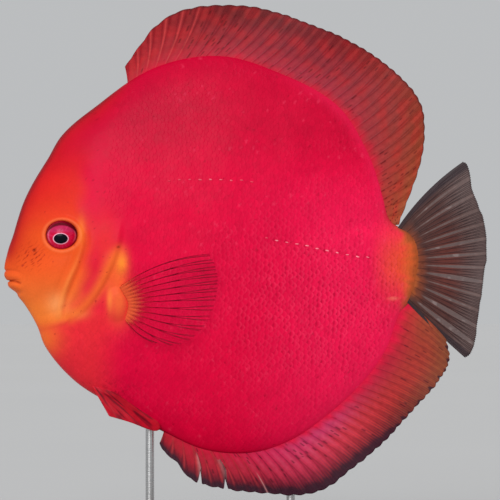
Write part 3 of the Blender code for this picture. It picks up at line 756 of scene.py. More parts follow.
def paint_brow(tint, x, z, rim):
    """The darker edge of the forehead, and the upper lip."""
    edge = ramp((z + 3.0) / 9.0) * ramp((-28.0 - x) / 16.0)
    return painted(tint, (
        ((192, 20, 28), bell(rim, 4.6) * edge * 0.75),
        ((128, 10, 24), bell(rim, 1.3) * edge * 0.8),
        ((176, 20, 26), hump(x, z, -75.5, 2.6, 3.0, 5.5) * 0.7),
    ))


def paint_tail_root(tint, x, z, rim):
    """The orange end of the body, which runs out over the tail's rays in uneven tongues."""
    ray = np.degrees(np.arctan2(z - TAIL_FOCUS[1], x - TAIL_FOCUS[0]))
    reach = x + 1.1 * ripple(ray, ray * 0.0, 7.0, 45)
    tongue = reach - x
    near = ramp((x - 57.5) / 5.0) * ramp((z + 20.0) / 6.0)
    corner = bell(rim, 1.4) * ramp((x - 60.0) / 4.0) * ramp((np.abs(z + 3.2) - 7.5) / 3.5)
    return painted(tint, (
        ((228, 78, 44), ramp((x - 49.0) / 13.0) * bell(z + 3.0, 11.0) * 0.9),
        ((210, 96, 44), ramp((reach - 60.5) / 4.5) * 0.8),
        ((160, 80, 42), ramp((4.6 + tongue - rim) / 3.4) * near * 0.9),
        ((122, 66, 42), ramp((1.5 + 0.6 * tongue - rim) / 1.8) * near * 0.5),
        ((84, 46, 40), corner * 0.6),
    ))


def paint_features(tint, x, z, rim, behind_gill):
    """Belly's edge, shade under the gill cover, painted shade in the mouth's slit, the eye's socket and the
    nostril, a pale ring round the socket, and the gill cover's corner.
    """
    low_rim = bell(rim, 0.6) * ramp((-z - 40.0) / 16.0) * ramp((20.0 - x) / 14.0) * ramp((x + 30.0) / 8.0)
    shadow = bell(behind_gill - 0.3, 0.6) * ramp((4.0 - z) / 14.0) * ramp((x + 70.0) / 7.0)
    away = eye_away(x, z)
    return painted(tint, (
        ((140, 0, 36), low_rim * 0.7),
        ((188, 40, 28), shadow * 0.14),
        # Painted shade in the mouth's slit
        ((130, 34, 18), bell(from_line(MOUTH_LINE, x, z), 0.35) * ramp((-70.2 - x) / 1.5) * 0.5),
        ((244, 128, 76), bell(away - 6.5, 0.6) * 0.4),
        # Painted shade on the eye socket's inner wall
        ((104, 10, 12), ramp((EYE_SOCKET - away) / 0.5) * 0.9),
        # Painted shade in the nostril's pit
        ((96, 20, 12), bell(nostril_away(x, z), 0.5) * 0.85),
        ((110, 26, 14), hump(x, z, -37.0, 2.8, 0.5, 0.4) * 0.8),
    ))


def paint_marks(tint, x, z, seam):
    """Slanting specks on the snout, folds on the belly, pale flecks, dark dots and the lateral line."""
    slant_x, slant_z = x * 0.8 + z * 0.6, z * 0.8 - x * 0.6
    specks = ramp((ripple(slant_x * 0.6, slant_z * 1.5, 1.3, 5) - 0.3) / 0.25)
    folds = ramp((ripple(x * 0.61 + z * 0.79, (x * 0.79 - z * 0.61) * 0.2, 1.2, 52) - 0.1) / 0.4)
    flecks = ramp((ripple(x, z, 2.1, 18) - 0.8) / 0.35) * ramp((x + 34.0) / 10.0)
    return painted(tint, (
        ((138, 26, 16), specks * hump(x, z, -67.5, -0.6, 4.6, 3.8) * 0.85),
        ((118, 8, 30), folds * hump(x, z, -38.0, -47.5, 7.5, 3.6) * 0.6),
        ((255, 84, 122), flecks * 0.2),
        ((140, 4, 30), ramp((ripple(x, z, 1.7, 15) - 1.05) / 0.15) * 0.5),
        ((166, 0, 40), seam * 0.5),
    ))


def paint_skin(x, z, share, seam):
    """The skin's colours, laid on from the broad areas to the small marks."""
    rim = (1 - share) * DISC_RADIUS
    behind_gill = from_line(GILL_EDGE, x, z)
    tint = paint_flank(x, z, rim)
    tint = paint_face(tint, x, z, behind_gill)
    tint = paint_gill(tint, x, z)
    tint = paint_brow(tint, x, z, rim)
    tint = paint_tail_root(tint, x, z, rim)
    tint = paint_features(tint, x, z, rim, behind_gill)
    return paint_marks(tint, x, z, seam)


def build_skin(look):
    """The whole skin as two discs of rings that share their rim, each closed by a fan in the middle."""
    bearing, t = np.meshgrid(skin_bearings(), np.arange(1, RINGS + 1) / RINGS, indexing="ij")
    share = 0.6 * t + 0.4 * np.sin(t * math.pi / 2)
    radius = share * (outline_radius(bearing) + lip_profile(bearing) * ramp((share - 0.93) / 0.07))
    x, z = polar(bearing, radius)
    seam = pore_seam(x, z)
    rim = rim_fade(share)
    relief = gill_relief(x, z) + cheek_relief(x, z) + eye_relief(x, z) + mouth_relief(x, z)
    relief += nostril_relief(x, z) - 0.06 * seam + low_relief(x, z)
    lobe = ((x - LOBE_AT[0]) / LOBE_REACH[0]) ** 2 + ((z - LOBE_AT[1]) / LOBE_REACH[1]) ** 2
    relief += LOBE_RAISE * ramp(1 - lobe)
    y = np.maximum(lens(x, share, bearing) + relief * rim, 0.02 * rim)
    tint = paint_skin(x, z, share, seam)

    count = x.size
    near = np.arange(count).reshape(SPOKES, RINGS)
    far = near.copy()
    far[:, :-1] = count + np.arange(SPOKES * (RINGS - 1)).reshape(SPOKES, RINGS - 1)
    middle = float(half_thickness(np.zeros(1), np.zeros(1))[0])
    poles = [[CENTRE_X, -middle, CENTRE_Z], [CENTRE_X, middle, CENTRE_Z]]
    far_points = placed(x, y, z)[:, :-1].reshape(-1, 3)
    points = np.concatenate([placed(x, -y, z).reshape(-1, 3), far_points, poles])
    pole_tint = np.repeat(tint[:1, 0], 2, axis=0)
    tints = np.concatenate([tint.reshape(-1, 3), tint[:, :-1].reshape(-1, 3), pole_tint])

    ring_cells = cells(np.concatenate([near, near[:1]]), (0, 3, 2, 1))
    first, following = near[:, 0], np.roll(near[:, 0], -1)
    across = np.stack(polar(bearing, share * SKIN_UV[2]), axis=-1)
    faces, corners = [], []
    for grid, pole, at, turn in ((near, -2, SKIN_UV[0], 1), (far, -1, SKIN_UV[1], -1)):
        spots = (across + at).reshape(-1, 2)
        fan = [np.full(SPOKES, len(points) + pole), grid[:, 0], np.roll(grid[:, 0], -1)]
        fan_spots = [np.tile(at, (SPOKES, 1)), spots[first], spots[following]]
        faces += grid.ravel()[ring_cells][:, ::turn].tolist()
        faces += np.stack(fan, axis=-1)[:, ::turn].tolist()
        corners += [spots[ring_cells][:, ::turn].reshape(-1, 2)]
        corners += [np.stack(fan_spots, axis=1)[:, ::turn].reshape(-1, 2)]
    made = make_mesh("discus_skin", points, faces, np.concatenate(corners), tints, look)
    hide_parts("head", "gill_cover_left", "gill_cover_right", "torso", "tail_root")


def scale_cover(x, z):
    """How far scales stand out: from nothing at the gill cover and nape to most on the rear flank."""
    behind = from_line(GILL_EDGE, x, z)
    nape = ramp((z - 12.0) / 10.0)
    start = ramp((x + 46.0 - 0.12 * (z - 12.0)) / 12.0)
    flank = ramp((behind - 1.5) / 6.0) * ramp((x + 60.0) / 10.0)
    lobe = np.hypot((x - LOBE_AT[0]) / (LOBE_REACH[0] + 1.5), (z - LOBE_AT[1]) / (LOBE_REACH[1] + 1.5))
    return (flank * (1 - nape) + start * nape) * ramp((lobe - 0.9) / 0.25)


def scale_strength(x, z):
    """How clearly scales show, most on the lower rear flank."""
    low = hump(x, z, 34.0, -16.0, 36.0, 32.0)
    return np.clip(0.1 + 0.85 * low + 0.14 * ripple(x, z, 12.0, 71), 0.03, 1.0)


def scale_places():
    """Middles of the scales, in staggered rows closer together by the tail, with sizes and shades."""
    draw = np.random.default_rng(7)
    rows, columns = (np.arange(-count, count + 1) for count in SCALE_COUNTS)
    row, column = np.meshgrid(rows, columns, indexing="ij")
    x = column * SCALE_PITCH + 0.5 * SCALE_PITCH * (row % 2)
    narrow = 1.0 - 0.16 * np.maximum(0.0, (x - 5.0) / 60.0) ** 2
    z = row * SCALE_ROW * narrow + 1.2 * np.sin(x / 22.0)
    x = x + draw.uniform(-0.32, 0.32, x.shape) + 0.8 * ripple(x, z, 15.0, 72)
    z = z + draw.uniform(-0.16, 0.16, x.shape) + 0.5 * ripple(x, z, 17.0, 73)
    size = draw.uniform(0.9, 1.1, x.shape) * narrow
    kept = (disc_place(x, z)[1] < SCALES_TO) & (scale_cover(x, z) > 0.08)
    return x[kept], z[kept], size[kept], draw.uniform(-1.0, 1.0, (2, int(kept.sum())))


def skin_place(x, z, side):
    """Where a place on the flank lies on the skin's unwrap: one disc for each flank."""
    bearing, share = disc_place(x, z)
    middle = SKIN_UV[0] if side < 0 else SKIN_UV[1]
    return np.stack(polar(bearing, share * SKIN_UV[2]), axis=-1) + middle


def build_scales(look, side, label):
    """Every scale of one flank as a thin curved plate that comes out from under the one before it."""
    x, z, size, (shade, mark) = scale_places()
    along, rise = np.array(SCALE_ALONG).T
    a, b = np.meshgrid(along, SCALE_ACROSS, indexing="ij")
    lift = np.broadcast_to(rise[:, None], a.shape) * (1 - 0.35 * b * b)
    size = size[:, None, None]
    px = x[:, None, None] + size * SCALE_HALF[0] * (a - 0.5 * b * b * (0.5 + 0.5 * a))
    pz = z[:, None, None] + size * SCALE_HALF[1] * b
    bearing, share = disc_place(px, pz)
    share = np.minimum(share, SCALES_WITHIN)
    cover, strength = scale_cover(px, pz), scale_strength(px, pz)
    proud = SCALE_LIFT * np.maximum(0.16, cover * (0.16 + 0.84 * strength)) * lift
    y = side * (lens(px, share, bearing) + (low_relief(px, pz) + proud) * rim_fade(share))
    amount = cover * strength * ramp((68.0 - px) / 10.0) * (0.62 + 0.38 * mark[:, None, None])
    tint = painted(paint_skin(px, pz, share, pore_seam(px, pz)), (
        ((140, 0, 32), bell(a + 0.08, 0.3) * (1 - 0.5 * b * b) * amount * 0.7),
        ((255, 74, 112), ramp((a - 0.4) / 0.5) * amount * 0.3),
    ))
    tint = tint * (1.0 + 0.05 * shade[:, None, None, None])
    count, rows, columns = px.shape
    one = cells(np.arange(rows * columns).reshape(rows, columns))
    quads = (np.arange(count)[:, None, None] * rows * columns + one).reshape(-1, 4)[:, ::-side]
    middle = skin_place(x, z, side)[:, None, None, :]
    patch = (middle + 0.5 * SCALE_PATCH * np.stack([a, b], axis=-1)[None]).reshape(-1, 2)
    corners = patch[quads].reshape(-1, 2)
    points, tint = placed(px, y, pz).reshape(-1, 3), tint.reshape(-1, 3)
    made = make_mesh("scales_" + label, points, quads.tolist(), corners, tint, look)
    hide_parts("torso")


def pore_points():
    """Places and slopes of the lateral line's pores."""
    places = []
    for line in (FRONT_LINE, REAR_LINE):
        points = dense(line, 200)
        run_x, run_z = np.diff(points, axis=0).T
        run = np.concatenate([[0.0], np.cumsum(np.hypot(run_x, run_z))])
        slope = np.arctan2(run_z, run_x)
        for at in np.arange(0.0, run[-1], PORE_PITCH):
            turn = np.interp(at, run[1:], slope)
            places.append((np.interp(at, run, points[:, 0]), np.interp(at, run, points[:, 1]), turn))
    return np.array(places)


def build_pores(look, side, label):
    """The lateral line's pores: small smooth tubes that stand a little out of their scales."""
    draw = np.random.default_rng(17)
    lat, lon, quads = ball_grid(*PORE_MESH)
    quads = quads[:, ::-side]
    spread = 0.3 * SCALE_PATCH * np.stack([np.cos(lat), np.sin(lat) * np.cos(lon)], axis=-1).reshape(-1, 2)
    points, faces, tints, corners = [], [], [], []
    for x, z, turn in pore_points():
        shown = float(line_shown(np.array(x), np.array(z))) * draw.uniform(0.45, 1.0)
        if shown < 0.12:
            continue
        long, wide, high = (half * draw.uniform(0.8, 1.15) for half in PORE_HALF)
        turn += draw.uniform(-0.2, 0.2)
        z += draw.uniform(-0.2, 0.2)
        a, b = long * np.sin(lat) * np.cos(lon), wide * np.sin(lat) * np.sin(lon)
        px = x + a * math.cos(turn) - b * math.sin(turn)
        pz = z + a * math.sin(turn) + b * math.cos(turn)
        wall = half_thickness(px, pz) + low_relief(px, pz) + 0.5 * SCALE_LIFT
        faces += (quads + len(points)).tolist()
        points += placed(px, side * (wall + high * np.cos(lat)), pz).reshape(-1, 3).tolist()
        here = np.array([x]), np.array([z])
        skin = paint_skin(*here, np.array([0.5]), np.zeros(1))[0]
        tint = skin * (1 - shown) + display((252, 142, 160)) * shown
        tints += [tint] * lat.size
        corners.append((skin_place(*here, side) + spread)[quads].reshape(-1, 2))
    corners, tints = np.concatenate(corners), np.array(tints)
    made = make_mesh("pores_" + label, points, faces, corners, tints, look)
    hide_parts("torso")


def build_eye(look, side, label):
    """An eyeball with a slight cornea, painted in rings round a pupil that looks a little down, with a
    painted shadow of the brow over its top, a painted sheen on its upper iris and painted highlight arcs at
    the sides.
    """
    depth = float(half_thickness(np.array([EYE_X]), np.array([EYE_Z]))[0]) - EYE_HALF_DEPTH + EYE_BULGE
    lat, lon, quads = ball_grid(*EYE_MESH)
    out = np.cos(lat)
    px, pz = np.sin(lat) * np.cos(lon) * EYE_RADIUS, np.sin(lat) * np.sin(lon) * EYE_RADIUS
    from_x, from_z = px - PUPIL[0], pz - PUPIL[1]
    ring = np.hypot(from_x / PUPIL_HALF[0], from_z / PUPIL_HALF[1])
    away = np.hypot(px, pz * EYE_SQUASH)
    spoke = np.degrees(np.arctan2(from_z, from_x))
    brow_shadow_reach = np.hypot((px + 0.1) / 5.3, (pz + 1.0) / 4.3)
    tint = painted(plain((202, 8, 58), px), (
        # Painted sheen: a paler mauve over the upper iris
        ((186, 40, 88), ramp((pz - 0.2) / 1.6) * 0.85),
        ((222, 60, 110), ramp((ripple(spoke, ring * 6, 16.0, 61) - 0.3) / 0.5) * 0.3),
        # Painted highlight: pale arcs along the sides of the iris
        ((232, 122, 150), bell(away - 4.75, 0.22) * ramp((3.0 - np.abs(pz)) / 2.0) * 0.55),
        # Painted shadow of the brow: a dark crescent over the top of the eyeball
        ((92, 6, 20), ramp((brow_shadow_reach - 0.97) / 0.1) * ramp((pz + 1.4) / 1.6) * 0.95),
        ((150, 0, 36), ramp((away - 4.9) / 0.4) * 0.6),
        ((246, 196, 220), bell(ring - 1.09, 0.055)),
        ((5, 5, 16), ramp((1.04 - ring) / 0.05)),
    ))
    tint[out < 0] = display((90, 0, 20))
    cornea = 0.4 * bell(ring, 1.7) * (out > 0)
    y = side * (depth + out * EYE_HALF_DEPTH + cornea)
    spread = lat / math.pi * 0.48
    flat = np.stack([spread * np.cos(lon) + 0.5, spread * np.sin(lon) + 0.5], axis=-1).reshape(-1, 2)
    points = placed(px + EYE_X, y, pz + EYE_Z).reshape(-1, 3)
    corners, tint = flat[quads].reshape(-1, 2), tint.reshape(-1, 3)
    made = make_mesh("eye_" + label + "_ball", points, quads.tolist(), corners, tint, look)
    turn_outward(made.data, weld=True)
    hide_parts("eye_" + label)


def build_sheet(name, x, z, middle, half, tint, cover, look, nodes):
    """A thin closed fin from grids of places, one column to a line from root to margin."""
    count = x.size
    number = np.arange(count).reshape(x.shape)
    cell = cells(number)
    points = [placed(x, middle + side * half, z).reshape(-1, 3) for side in (-1, 1)]
    size = max(np.ptp(x), np.ptp(z))
    flat = ((np.stack([x, z], axis=-1) - [x.min(), z.min()]) / size * SHEET_UV[2]).reshape(-1, 2)
    front, back = flat + SHEET_UV[0], flat + SHEET_UV[1]
    border = np.concatenate([number[:, 0], number[-1, 1:], number[-2::-1, -1], number[0, -2:0:-1]])
    ahead = np.roll(border, -1)
    edge = np.stack([ahead, border, border + count, ahead + count], axis=-1)
    faces = [cell, (cell + count)[:, ::-1], edge]
    corners = [front[cell], back[cell][:, ::-1], front[np.stack([ahead, border, border, ahead], axis=-1)]]
    join = np.concatenate
    tint, cover = join([tint.reshape(-1, 3)] * 2), join([cover.ravel()] * 2)
    spots = join(corners).reshape(-1, 2)
    made = make_mesh(name, join(points), join(faces).tolist(), spots, tint, look, cover)
    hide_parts(*nodes)


def run_out(root, tip, along, bow):
    """Places from root to tip, bowed sideways by a share of the length."""
    run_x, run_z = tip[0] - root[0], tip[1] - root[1]
    aside = bow * 4 * along * (1 - along)
    return root[0] + run_x * along - run_z * aside, root[1] + run_z * along + run_x * aside


def ray_lines(ray, along, forks, narrow=0.07):
    """1 on the lines of the rays and 0 between them: each ray forks as it runs out.

    Each fork gives how far apart it carries the branches, and where along the ray it starts and ends."""
    away = ray - np.round(ray)
    places = [np.zeros(ray.shape)]
    for spread, start, end in forks:
        apart = spread * ramp((along - start) / (end - start))
        places = [place + side * apart for place in places for side in (-1, 1)]
    lines = np.zeros(ray.shape)
    for place in places:
        lines = np.maximum(lines, bell(away - place, narrow))
    return lines


def ragged(ray, seed, amount):
    """An uneven amount for each ray, eased from one ray to the next."""
    draw = np.random.default_rng(seed).uniform(-amount, amount, 200)
    low = np.floor(ray).astype(int)
    share = ramp(ray - low)
    return draw[low] * (1 - share) + draw[low + 1] * share


def dashes(ray, along, pitch, share, seed):
    """1 on short thin dashes along the rays, scattered anew on each half ray, in a share of places."""
    strips, steps = 400, 80
    last = steps - 2
    draw = np.random.default_rng(seed).uniform(0, 1, (strips, steps))
    strip = np.floor(ray * 2 + 0.5).astype(int)
    step = along / pitch + draw[strip, -1] * 3.0
    cell = np.clip(np.floor(step).astype(int), 0, last)
    length = 0.35 + 0.3 * draw[strip, np.minimum(cell + 1, last)]
    within = ramp((length - np.abs(step - cell - 0.5)) / 0.15)
    aside = 0.6 * (draw[strip, np.minimum(cell + 2, last)] - 0.5)
    beside = np.mod(ray * 2 + 0.5, 1) - 0.5 - aside
    return np.where(draw[strip, cell] < share, within, 0.0) * bell(beside, 0.14)


def fin_grid(parts, mesh):
    """How far places on a fin lie along its base and out from it, each from 0 to 1."""
    columns, rows = parts * mesh[0] + 1, mesh[1]
    return np.meshgrid(np.linspace(0, 1, columns), np.linspace(0, 1, rows), indexing="ij")


def fin_thickness(along, lines, ridge, membrane=0.13):
    """Half thickness of a fin: a membrane, ridges on its rays and a stouter root."""
    return membrane + ridge * lines * (1 - 0.55 * along) + (ROOT_HALF - membrane) * (1 - along) ** 3


def tables_along(tables, u, along):
    """Linear colours from tables by place along the fin, one for the base, the middle and the margin."""
    low, middle, high = (colour_table(table, u) for table in tables)
    inner = mixed(low, middle, ramp((along - 0.2) / 0.35))
    return FIN_DEPTH * mixed(inner, high, ramp((along - 0.55) / 0.4))


def median_grid(rays, base, tips, margin, bow, mesh, notch, slits=()):
    """Places on a dorsal or anal fin, and for each its share along, its ray and how far between rays."""
    u, along = fin_grid(rays - 1, mesh)
    ray = u * (rays - 1)
    between = np.abs(ray - np.round(ray)) * 2
    root_bearing = base[0] + (base[1] - base[0]) * u
    tip_bearing = smooth(tips, u)
    reach = smooth(margin, tip_bearing) - notch * between**1.5 + ragged(ray, rays, 0.12)
    for at, deep in slits:
        reach -= deep * bell(ray - at, SLIT_WIDTH)
    root = polar(root_bearing, outline_radius(root_bearing) - ROOT_SINK)
    x, z = run_out(root, polar(tip_bearing, reach), along, bow)
    sway = -FIN_WAVE * np.sin(FIN_WAVES * math.tau * u) * along**2
    return u, along, ray, between, (x, z, sway)


def median_sheet(node, places, along, lines, tint, look):
    x, z, sway = places
    half = fin_thickness(along, lines, 0.08)
    cover = np.full(x.shape, 1.0) - 0.08 * ramp((along - 0.6) / 0.4) * (1 - lines)
    build_sheet(node + "_skin", x, z, sway, half, tint, cover, look, [node])


def build_dorsal(look):
    u, along, ray, between, places = median_grid(
        DORSAL_RAYS, DORSAL_BASE, DORSAL_TIPS, DORSAL_MARGIN, -MEDIAN_BOW, DORSAL_MESH, 0.35
    )
    lines = ray_lines(ray, along, ((0.14, 0.3, 0.7), (0.1, 0.55, 1.0)), 0.055)
    strand = 0.5 + 0.5 * ripple(ray, along * 6.0, 1.8, 21)
    crowd = 0.05 + 0.5 * hump(u, along, 0.16, 0.45, 0.06, 0.25) + 0.5 * hump(u, along, 0.94, 0.4, 0.07, 0.3)
    crowd = crowd + 0.2 * bell(along - 0.2, 0.07)
    spines = bell(ray - np.round(ray), 0.08) * ramp((6.4 - ray) / 2.0) * ramp(ray / 1.5)
    flesh = 0.26 + 0.08 * ramp((0.2 - u) / 0.18) + 0.02 * np.sin(ray * math.pi * 1.3)
    flesh = flesh + 0.035 * ripple(ray, along, 4.0, 24)
    tint = painted(tables_along(DORSAL_TABLES, u, along), (
        ((196, 24, 30), ramp((strand - 0.3) / 0.6) * ramp((along - 0.2) / 0.3) * 0.3),
        ((84, 12, 22), lines * 0.42),
        ((206, 84, 78), (1 - lines) * bell(between - 1.0, 0.4) * 0.1),
        ((86, 6, 14), dashes(ray, along, 0.085, crowd, 22) * 0.8),
        ((222, 76, 74), spines * 0.5),
        ((194, 18, 48), ramp((flesh - along) / 0.2)),
        ((72, 14, 16), ramp((along - 0.972) / 0.02) * 0.8),
    ))
    median_sheet("dorsal_fin", places, along, lines, tint, look)


def build_anal(look):
    u, along, ray, between, places = median_grid(
        ANAL_RAYS, ANAL_BASE, ANAL_TIPS, ANAL_MARGIN, MEDIAN_BOW, ANAL_MESH, 0.45, ANAL_SLITS
    )
    lines = ray_lines(ray, along, ((0.15, 0.35, 0.75), (0.11, 0.55, 1.0)), 0.055)
    rear = ramp((u - 0.3) / 0.2)
    bright = bell(np.mod(ray * 4, 1) - 0.5, 0.22) * hump(u, along, 0.6, 0.68, 0.3, 0.24)
    rosy = bell(between - 1.0, 0.45) * hump(along, u, 0.4, 0.42, 0.22, 0.2)
    crowd = 0.04 + 0.16 * hump(u, along, 0.35, 0.35, 0.2, 0.3)
    spines = bell(ray - np.round(ray), 0.08) * ramp((9.5 - ray) / 2.0)
    flesh = 0.21 + 0.07 * rear + 0.025 * np.sin(ray * math.pi * 1.3) + 0.04 * ripple(ray, along, 4.0, 34)
    streaky = 0.05 * ripple(ray, along, 1.1, 35)
    deep = 0.16 * (1 - ramp((u - 0.5) / 0.16)) + 0.02
    for at, _ in ANAL_SLITS:
        deep = deep * (1 - 0.9 * bell(ray - at, 0.22))
    layers = [
        ((216, 58, 44), bright * 0.6),
        ((70, 8, 30), lines * (0.55 - 0.15 * rear)),
        ((222, 90, 120), (1 - lines) * rosy * 0.35),
        ((62, 4, 24), dashes(ray, along, 0.085, crowd, 32) * 0.75),
        ((214, 66, 66), spines * 0.3),
        ((212, 12, 58), ramp((flesh - along) / (0.14 + 0.06 * rear))),
        ((52, 20, 36), ramp((along - 1 + deep + streaky) / (0.5 * deep + 0.01)) * 0.88),
    ]
    for at, start in ((ANAL_SLITS[0][0], 0.45), (ANAL_SLITS[1][0], 0.4), (8.5, 0.55)):
        layers.append(((236, 156, 156), bell(ray - at, 0.055) * ramp((along - start) / 0.2) * 0.55))
    tint = painted(tables_along(ANAL_TABLES, u, along), layers)
    median_sheet("anal_fin", places, along, lines, tint, look)


def build_tail(look):
    """The tail fin: flat bundles of forked rays with paler stripes of membrane between them."""
    u, along = fin_grid(TAIL_BUNDLES, TAIL_MESH)
    bearing = TAIL_MARGIN[0][0] + (TAIL_MARGIN[-1][0] - TAIL_MARGIN[0][0]) * u
    root = polar(bearing, smooth(TAIL_BASE, bearing) - ROOT_SINK)
    bundle = u * TAIL_BUNDLES - 0.5
    fine = np.abs(np.mod(bundle * 8, 1) - 0.5) * 2
    reach = smooth(TAIL_MARGIN, bearing) + ragged((bundle + 1) * 2, 8, 0.25) - 0.3 * (1 - fine)
    x, z = run_out(root, polar(bearing, reach), along, smooth(TAIL_BOW, bearing))
    sway = TAIL_WAVE * np.sin(TAIL_WAVES * math.tau * u + TAIL_WAVE_START) * along**2
    away = np.abs(bundle - np.round(bundle))
    lines = ray_lines(bundle, along, TAIL_FORKS, 0.024)
    wider = np.random.default_rng(46).uniform(-0.06, 0.05, 40)[np.floor(bundle).astype(int) + 1]
    uneven = wider + 0.04 * ramp((u - 0.6) / 0.2)
    wide = smooth(TAIL_BUNDLE_HALF, along) + uneven + 0.03 * ripple(bundle, along * 2, 1.7, 44)
    stripe = ramp((away - wide) / 0.05) * ramp((along - 0.16) / 0.12)
    blotch = ramp((ripple(bundle * 4.0, along * 14.0, 2.4, 42) - 0.45) / 0.25)
    pale = bell(away - wide - 0.02, 0.02) * ramp((along - 0.15) / 0.2)
    edge = np.minimum(u * 1.3, 1 - u) + 0.012 * ramp((0.5 - along) / 0.5)
    middle = ramp((0.48 - np.abs(u - 0.5)) / 0.16)
    reach_out = along + 0.03 * ripple(bundle * 2.0, along, 2.0, 47)
    dark = dashes(bundle * 3, along, 0.04, 0.4, 43) * hump(along, u, 0.17, 0.5, 0.05, 0.35)
    tint = painted(plain((72, 47, 44), x), (
        ((110, 91, 88), ramp((along - 0.55) / 0.4) * 0.75),
        ((104, 42, 33), hump(along, u, 0.5, 0.45, 0.24, 0.28) * 0.6),
        ((101, 83, 81), stripe * 0.95),
        ((146, 128, 126), stripe * blotch * 0.5),
        ((38, 24, 28), lines * 0.88),
        ((128, 104, 98), pale * (1 - lines) * 0.4),
        ((118, 60, 42), ramp((0.27 - reach_out) / 0.12) * (1 - 0.6 * lines) * middle),
        ((160, 80, 42), ramp((0.15 - reach_out) / 0.06) * (1 - 0.35 * lines) * middle),
        ((52, 40, 44), ramp((0.05 - edge) / 0.02) * 0.9),
        ((52, 22, 20), dark * 0.85),
        ((44, 32, 36), ramp((along - 0.98) / 0.015) * 0.6),
    ))
    half = fin_thickness(along, lines, 0.12, 0.12) + (TAIL_ROOT_HALF - ROOT_HALF) * (1 - along) ** 7
    thin = 0.1 * stripe + 0.12 * ramp((along - 0.5) / 0.4)
    cover = 1.0 - thin * (1 - lines) * ramp((along - 0.25) / 0.3)
    x, z = x + TAIL_FOCUS[0], z + TAIL_FOCUS[1]
    build_sheet("tail_fin_skin", x, z, sway, half, tint, cover, look, ["tail_fin"])


def pectoral_place(u, along, side):
    root_x, root_z = smooth(PECTORAL_BASE, u)
    tip_x, tip_z = smooth(PECTORAL_TIPS, u)
    x, z = run_out((root_x, root_z), (tip_x, tip_z), along, PECTORAL_BOW * (PECTORAL_STRAIGHT_AT - u))
    rise = PECTORAL_SPREAD * np.hypot(tip_x - root_x, tip_z - root_z)
    seat = half_thickness(root_x, root_z) + PECTORAL_SEAT
    return x, z, side * (seat + rise * along * (1.0 - PECTORAL_CURL * along))


def strands(name, paths, look, nodes):
    """Many tapered round threads joined into one mesh, each given as points, radii and colours."""
    turn = math.tau * np.arange(STRAND_SIDES)[:, None] / STRAND_SIDES
    points, faces, tints = [], [], []
    for path, radii, colours in paths:
        run = np.gradient(path, axis=0)
        run /= np.linalg.norm(run, axis=1)[:, None]
        aside = np.cross(run, (0.0, 1.0, 0.0))
        aside /= np.linalg.norm(aside, axis=1)[:, None]
        over = np.cross(aside, run)
        spokes = aside[:, None] * np.cos(turn) + over[:, None] * np.sin(turn)
        grid = len(points) + np.arange(len(path) * STRAND_SIDES).reshape(-1, STRAND_SIDES)
        points += list((path[:, None] + radii[:, None, None] * spokes).reshape(-1, 3))
        tints += list(np.repeat(colours, STRAND_SIDES, axis=0))
        faces += cells(closed(grid), (0, 3, 2, 1)).tolist()
        faces += [grid[0, ::-1].tolist(), grid[-1].tolist()]
    spot = np.array(points)[:, [0, 2]]
    spot = (spot - spot.min(axis=0)) / np.ptp(spot, axis=0).max() * 0.98 + 0.01
    corners = [spot[i] for face in faces for i in face]
    made = make_mesh(name, points, faces, corners, np.array(tints), look, np.ones(len(points)))
    turn_outward(made.data)
    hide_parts(*nodes)


def build_pectoral(look, side, label):
    """A pectoral fin: an all but clear web, and round rays that fork twice."""
    node = "pectoral_fin_" + label
    last = PECTORAL_RAYS - 1
    u, along = fin_grid(last, PECTORAL_MESH)
    x, z, y = pectoral_place(u, along, side)
    ray = u * last
    lines = ray_lines(ray, along, ((0.2, 0.4, 1.0), (0.09, 0.65, 1.0)))
    tint = painted(plain((255, 30, 92), x), (((242, 96, 54), ramp((0.3 - along) / 0.25)),))
    cover = 0.015 + 0.7 * ramp((0.2 - along + 0.04 * np.cos(ray * math.tau)) / 0.2)
    half = fin_thickness(along, lines, 0.04, 0.07)
    build_sheet(node + "_web", x, z, y, half, tint, np.clip(cover, 0, 1), look, [node])
    paths = []
    t = np.linspace(0.02, 0.985, STRAND_RINGS)
    shade = colour_table(PECTORAL_SHADES, t)
    for n in range(PECTORAL_RAYS):
        for fork in (-1, 1):
            for twig in (-1, 1):
                aside = fork * 0.2 * ramp((t - 0.35) / 0.65) + twig * 0.055 * ramp((t - 0.6) / 0.4)
                px, pz, py = pectoral_place(np.clip((n + aside) / last, 0.0, 1.0), t, side)
                paths.append((placed(px, py, pz), 0.19 - 0.12 * t, shade))
    strands(node + "_rays", paths, look, [node])


def build_pelvic(look, side, label):
    """A pelvic fin: its rear edge lies against the belly and its front edge stands off."""
    node = "pelvic_fin_" + label
    u, along = fin_grid(PELVIC_RAYS - 1, PELVIC_MESH)
    x, z = run_out(smooth(PELVIC_BASE, u), smooth(PELVIC_TIPS, u), along, 0.0)
    inside = PELVIC_INSIDE * outline_radius(np.degrees(np.arctan2(z, x))) / np.hypot(x, z)
    inside = np.minimum(1.0, inside)
    wall = half_thickness(x * inside, z * inside)
    hug = ramp((u - 0.45) / 0.5)
    rise = PELVIC_SINK + PELVIC_LIFT * (1 - hug) - 0.35 * hug
    lift = -PELVIC_SINK + rise * ramp(along / PELVIC_LIFT_BY) + PELVIC_FLARE * (1 - hug) * along**2
    ray = u * (PELVIC_RAYS - 1)
    lines = ray_lines(ray, along, ((0.18, 0.3, 1.0), (0.07, 0.6, 1.0)))
    streaks = ramp((ripple(ray * 1.9, along * 4.0, 1.5, 51) - 0.05) / 0.4)
    tint = painted(plain((172, 12, 34), x), (
        ((202, 34, 44), ramp((0.25 - u) / 0.2) * ramp((0.8 - along) / 0.4) * 0.6),
        ((76, 8, 26), streaks * 0.75),
        ((196, 26, 46), lines * 0.3),
        ((210, 16, 50), ramp((0.2 - along) / 0.15)),
        ((204, 8, 50), ramp((u - 0.84) / 0.16) * 0.8),
    ))
    half = fin_thickness(along, lines, 0.16)
    cover = np.ones(x.shape)
    build_sheet(node + "_skin", x, z, side * (wall + lift), half, tint, cover, look, [node])


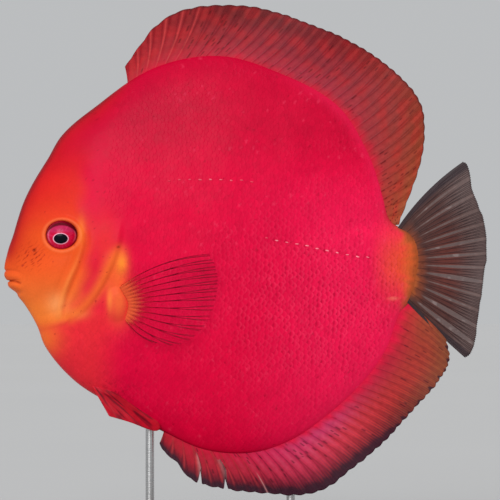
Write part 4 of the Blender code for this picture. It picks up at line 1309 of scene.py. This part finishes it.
def dress_stand():
    wood, steel = wood_material(), steel_material()
    for node, look in (("stand_base", wood), ("stand_rod_front", steel), ("stand_rod_rear", steel)):
        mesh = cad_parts[node].data
        mesh.materials.clear()
        mesh.materials.append(look)


def add_floor():
    bpy.ops.mesh.primitive_plane_add(size=FLOOR_SIZE, location=(0.0, 0.0, -FLOOR_DROP))
    floor = bpy.context.object
    floor.name = "floor"
    floor.data.materials.append(floor_material())


def add_lights():
    """Broad soft suns, which light the floor alike everywhere, and a grey surround."""
    for name, towards, strength, spread in SUNS:
        light = bpy.data.lights.new(name, "SUN")
        light.energy = strength
        light.angle = math.radians(spread)
        lamp = bpy.data.objects.new(name, light)
        lamp.rotation_euler = Vector(towards).to_track_quat("Z", "Y").to_euler()
        bpy.context.scene.collection.objects.link(lamp)
    world = bpy.data.worlds.new("world")
    world.use_nodes = True
    world.node_tree.nodes["Background"].inputs["Color"].default_value = (*SURROUND, 1.0)
    bpy.context.scene.world = world


def add_camera():
    """Square on to the left flank from far off, with the photo's field at the fish's middle plane."""
    view = bpy.data.cameras.new("camera")
    view.sensor_width = SENSOR
    view.lens = SENSOR * CAMERA_AWAY / (PICTURE * PIXEL)
    view.clip_end = 100.0
    camera = bpy.data.objects.new("camera", view)
    across, up = PICTURE_MIDDLE
    camera.location = ((CENTRE_X + across * PIXEL) * MM, -CAMERA_AWAY * MM, (CENTRE_Z + up * PIXEL) * MM)
    camera.rotation_euler = (math.radians(90.0), 0.0, 0.0)
    bpy.context.scene.collection.objects.link(camera)
    bpy.context.scene.camera = camera


def main():
    skin = skin_material()
    fins = fin_material()
    eyes = eye_material()
    build_skin(skin)
    build_dorsal(fins)
    build_anal(fins)
    build_tail(fins)
    for side, label in ((-1, "left"), (1, "right")):
        build_scales(skin, side, label)
        build_pores(skin, side, label)
        build_pectoral(fins, side, label)
        build_pelvic(fins, side, label)
        build_eye(eyes, side, label)
    dress_stand()
    add_floor()
    add_lights()
    add_camera()
    bpy.context.scene.view_settings.view_transform = "Standard"


main()
